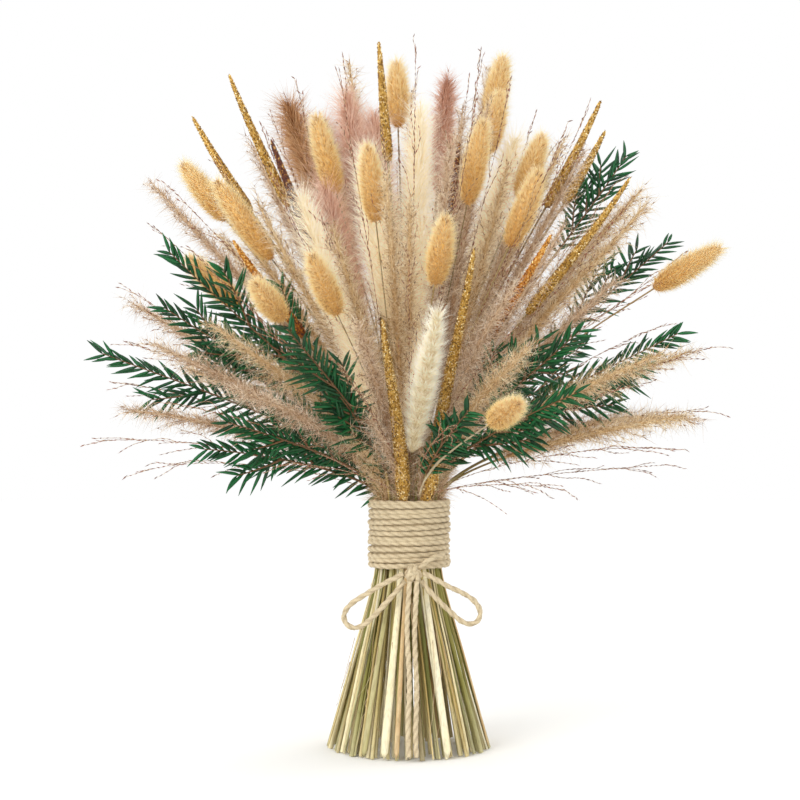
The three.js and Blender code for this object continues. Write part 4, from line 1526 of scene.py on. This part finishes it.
class BUNCH_OT_sprigs(bpy.types.Operator):
    """Grow the green leaf sprigs"""

    bl_idname = "bunch.sprigs"
    bl_label = "Leaf sprigs"

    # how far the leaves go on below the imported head, on the sprigs that have them almost down to the tie, mm
    REACH_DOWN = {"leaf_sprig_3": 36, "leaf_sprig_4": 18, "leaf_sprig_8": 48}

    def execute(self, context):
        settings = context.scene.bunch_sprig
        green = shared(leaf_finish, tuple(settings.deep), tuple(settings.bright), screen(0.52, 0.38, 0.24))
        for name in nodes_of("leaf_sprig"):
            rng = seeded(name)
            line, start, _, stem = packed_stem(name)
            self.grow(name + "_whole", line, start, stem, rng, green, settings, name)
        for i, tip in enumerate(FILLING_SPRIGS):
            line = filling_line(tip)
            self.grow(f"leaf_sprig_{i + 11}_whole", line, filling_head(line), FILLING_RADII["sprig"],
                      seeded(f"sprig{i}"), green, settings)
        return {"FINISHED"}

    def grow(self, name, line, start, stem, rng, material, settings, *stood_for):
        """One sprig: a leafy spine with three side shoots, and its stem."""
        behind = line.points[-1][1] > 70 * MM  # its leaves face the back
        facing = np.array([0, 1.0 if behind else -1.0, 0.25]) + rng.uniform(-0.3, 0.3, 3)
        start -= self.REACH_DOWN.get(name.replace("_whole", ""), 8) * MM
        lines = [line.at(np.linspace(start, line.length - settings.leaf * 0.3, 30))]
        for share_along in (0.2, 0.38, 0.56):  # side shoots
            at = start + share_along * (line.length - start)
            way = line.heading(at)
            side = np.cross(way, facing) * rng.choice([-1, 1]) + facing * rng.uniform(-0.4, 0.4)
            u = np.linspace(0, 1, 12)[:, None]
            long = (line.length - start) * rng.uniform(0.28, 0.42) * (1.1 - share_along)
            lines.append(line.at(at) + long * ((way * 0.82 + side * 0.55) * u + way * 0.2 * u**2))
        head = smooth(grown(shared(leaf_row_tree), chains(lines, None, facing), Gap=settings.gap,
                            Length=settings.leaf, Width=settings.leaf_width, Spread_angle=0.84,
                            Droop=float(rng.uniform(0.0, 0.18)), Seed=own_seed(rng), Material=material))
        stalk = straw(line, start + 2 * MM, stem, rng, rng.uniform(0.1, 0.5), 0.6)
        piece(name, [head, stalk], "leaf", *stood_for)


class BUNCH_OT_grasses(bpy.types.Operator):
    """Grow the fine grasses that reach out between the heads, and the thin straws of the foot"""

    bl_idname = "bunch.grasses"
    bl_label = "Fine grasses"

    def execute(self, context):
        settings = context.scene.bunch_grass
        wispy = shared(hair_finish, "grass_straw",
                       ((0.66, 0.52, 0.36), (0.74, 0.62, 0.46), (0.80, 0.70, 0.55)),
                       ((0.78, 0.66, 0.50), (0.84, 0.74, 0.60), (0.90, 0.82, 0.70)),
                       ((0.34, 0.20, 0.13), (0.58, 0.36, 0.28)))
        low, high = np.array(CAD_LOW), np.array(CAD_HIGH)
        half, middle = (high - low) / 2, (high + low) / 2
        heads = [[] for _ in range(8)]  # the plants of each piece
        for i in range(settings.grasses):
            rng = seeded(f"grass{i}")
            turn = i * GOLDEN
            lean = math.radians(12 + 84 * ((i + 0.5) / settings.grasses) ** 0.8)
            reach = rng.uniform(0.93, 1.03)  # as a share of the bunch's own outline
            base = TIE_TOP + 34 * MM
            tip = np.array([middle[0] + half[0] * math.sin(lean) * math.cos(turn) * reach,
                            middle[1] + half[1] * math.sin(lean) * math.sin(turn) * reach,
                            base + (CAD_HIGH.z - base) * math.cos(lean) * reach])
            foot_out = rng.uniform(0.5, 1.0) ** 0.6 * 1.03
            line = filling_stem(turn, tip, arch=rng.uniform(4, 26) * MM, out=rng.uniform(0.6, 0.8),
                                foot_out=foot_out)
            start = line.length * rng.uniform(0.56, 0.68)
            twigs = side_branches(line, start, 9, rng, 0.34, settings.branch, droop=0.16, wave=0.05, points=8)
            spine = line.at(np.linspace(start - 20 * MM, line.length, 30))
            heads[i % len(heads)].append((line, start, [spine, *twigs], rng))
        for number, plants in enumerate(heads):
            lines = [twig for plant in plants for twig in plant[2]]
            rng = seeded(f"grasses{number}")
            tones = rng.uniform(0.1, 0.8, len(lines))
            head = smooth(grown(shared(feathering_tree), chains(lines, tones), Thickness=settings.thickness,
                                Taper=0.5, Hair_gap=0.003, Length=0.003, Width=0.00006, Lean=0.8, Scatter=0.4,
                                Spikelet_gap=0.0036, Spikelet_length=0.0043, Spikelet_width=0.0007,
                                Seed=own_seed(rng), Material=wispy))
            straws = [straw(line, start, rng.uniform(0.7, 1.35) * MM, rng, rng.uniform(0, 1), 0.25, 6 * MM)
                      for line, start, _, rng in plants]
            piece(f"fine_grasses_{number + 1}", [head, *straws], "reed_straw")
        self.foot(wispy)
        return {"FINISHED"}

    def foot(self, wispy):
        """The broad straws and stray fibres that show over the cut ends."""
        rng = seeded("foot")
        blades = []
        for (x, y), (waist_x, waist_y), half, tone in BROAD_STRAWS:
            line = Line(in_mm([(x, y, 0.6), ((x + waist_x) / 2, (y + waist_y) / 2, 56),
                               (waist_x, waist_y, 112), (waist_x, waist_y, 150)]))
            blade = core(line, 0.0, half * MM, lambda s: np.interp(s, [0, 0.1, 0.5, 1], [0.92, 1, 0.8, 0.45]),
                         rng, (tone, tone), sides=8, rings=16, flat=0.62)
            blade.materials.append(shared(straw_finish))
            blades.append(smooth(blade))
        piece("broad_straws", blades, "reed_straw")
        strays = []
        for _ in range(STRAY_FIBRES):
            turn = rng.uniform(0, 2 * math.pi)
            up = np.linspace(rng.uniform(0.35, 0.9), rng.uniform(0.02, 0.35), 9)
            out = (TIE_RADIUS * 0.86 * up + FOOT_RADIUS * 1.03 * (1 - up)) + 0.6 * MM
            bend = turn + rng.uniform(-0.35, 0.35) * np.linspace(0, 1, 9) ** 2 + rng.normal(0, 0.015, 9)
            strays.append(np.stack([np.cos(bend) * out, np.sin(bend) * out, up * TIE_BOTTOM], 1))
        fibres = grown(shared(feathering_tree), chains(strays, rng.uniform(0.2, 0.8, len(strays))),
                       Thickness=0.00022, Taper=0.4, Hair_gap=0.03, Spikelet_gap=0.04, Spikelet_width=0.0003,
                       Length=0.004, Lean=0.8, Material=wispy)
        piece("stray_fibres", [fibres], "reed_straw")


OPERATORS = [BUNCH_OT_stage, BUNCH_OT_bow, BUNCH_OT_wrap, BUNCH_OT_bunny_tails, BUNCH_OT_spikes,
             BUNCH_OT_foxtail, BUNCH_OT_plumes, BUNCH_OT_reeds, BUNCH_OT_sprigs, BUNCH_OT_grasses]
SETTINGS = {"stage": StageSettings, "twine": TwineSettings, "bunny": BunnySettings, "spike": SpikeSettings,
            "plume": PlumeSettings, "reed": ReedSettings, "sprig": SprigSettings, "grass": GrassSettings}


class BUNCH_PT_sidebar(bpy.types.Panel):
    """Lists the bunch's settings and the operators that make its pieces"""

    bl_idname = "BUNCH_PT_sidebar"
    bl_label = "Dried bunch"
    bl_space_type = "VIEW_3D"
    bl_region_type = "UI"
    bl_category = "Dried bunch"

    def draw(self, context):
        for operator in OPERATORS:
            self.layout.operator(operator.bl_idname)
        for name, group in SETTINGS.items():
            box = self.layout.box()
            box.label(text=name.capitalize())
            for field in group.__annotations__:
                box.prop(getattr(context.scene, "bunch_" + name), field)


def register():
    for made in (*SETTINGS.values(), *OPERATORS, BUNCH_PT_sidebar):
        bpy.utils.register_class(made)
    for name, group in SETTINGS.items():
        setattr(bpy.types.Scene, "bunch_" + name, PointerProperty(type=group))


def unregister():
    for name in SETTINGS:
        delattr(bpy.types.Scene, "bunch_" + name)
    for made in reversed((*SETTINGS.values(), *OPERATORS, BUNCH_PT_sidebar)):
        bpy.utils.unregister_class(made)


def main():
    register()
    for operator in OPERATORS:
        getattr(bpy.ops.bunch, operator.bl_idname.split(".")[1])()
    low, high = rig.bounds()
    sizes = {"cad": [list(CAD_LOW), list(CAD_HIGH)], "visual": [list(low), list(high)]}
    with open("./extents.json", "w") as out:
        json.dump(sizes, out)


if __name__ == "__main__":
    main()
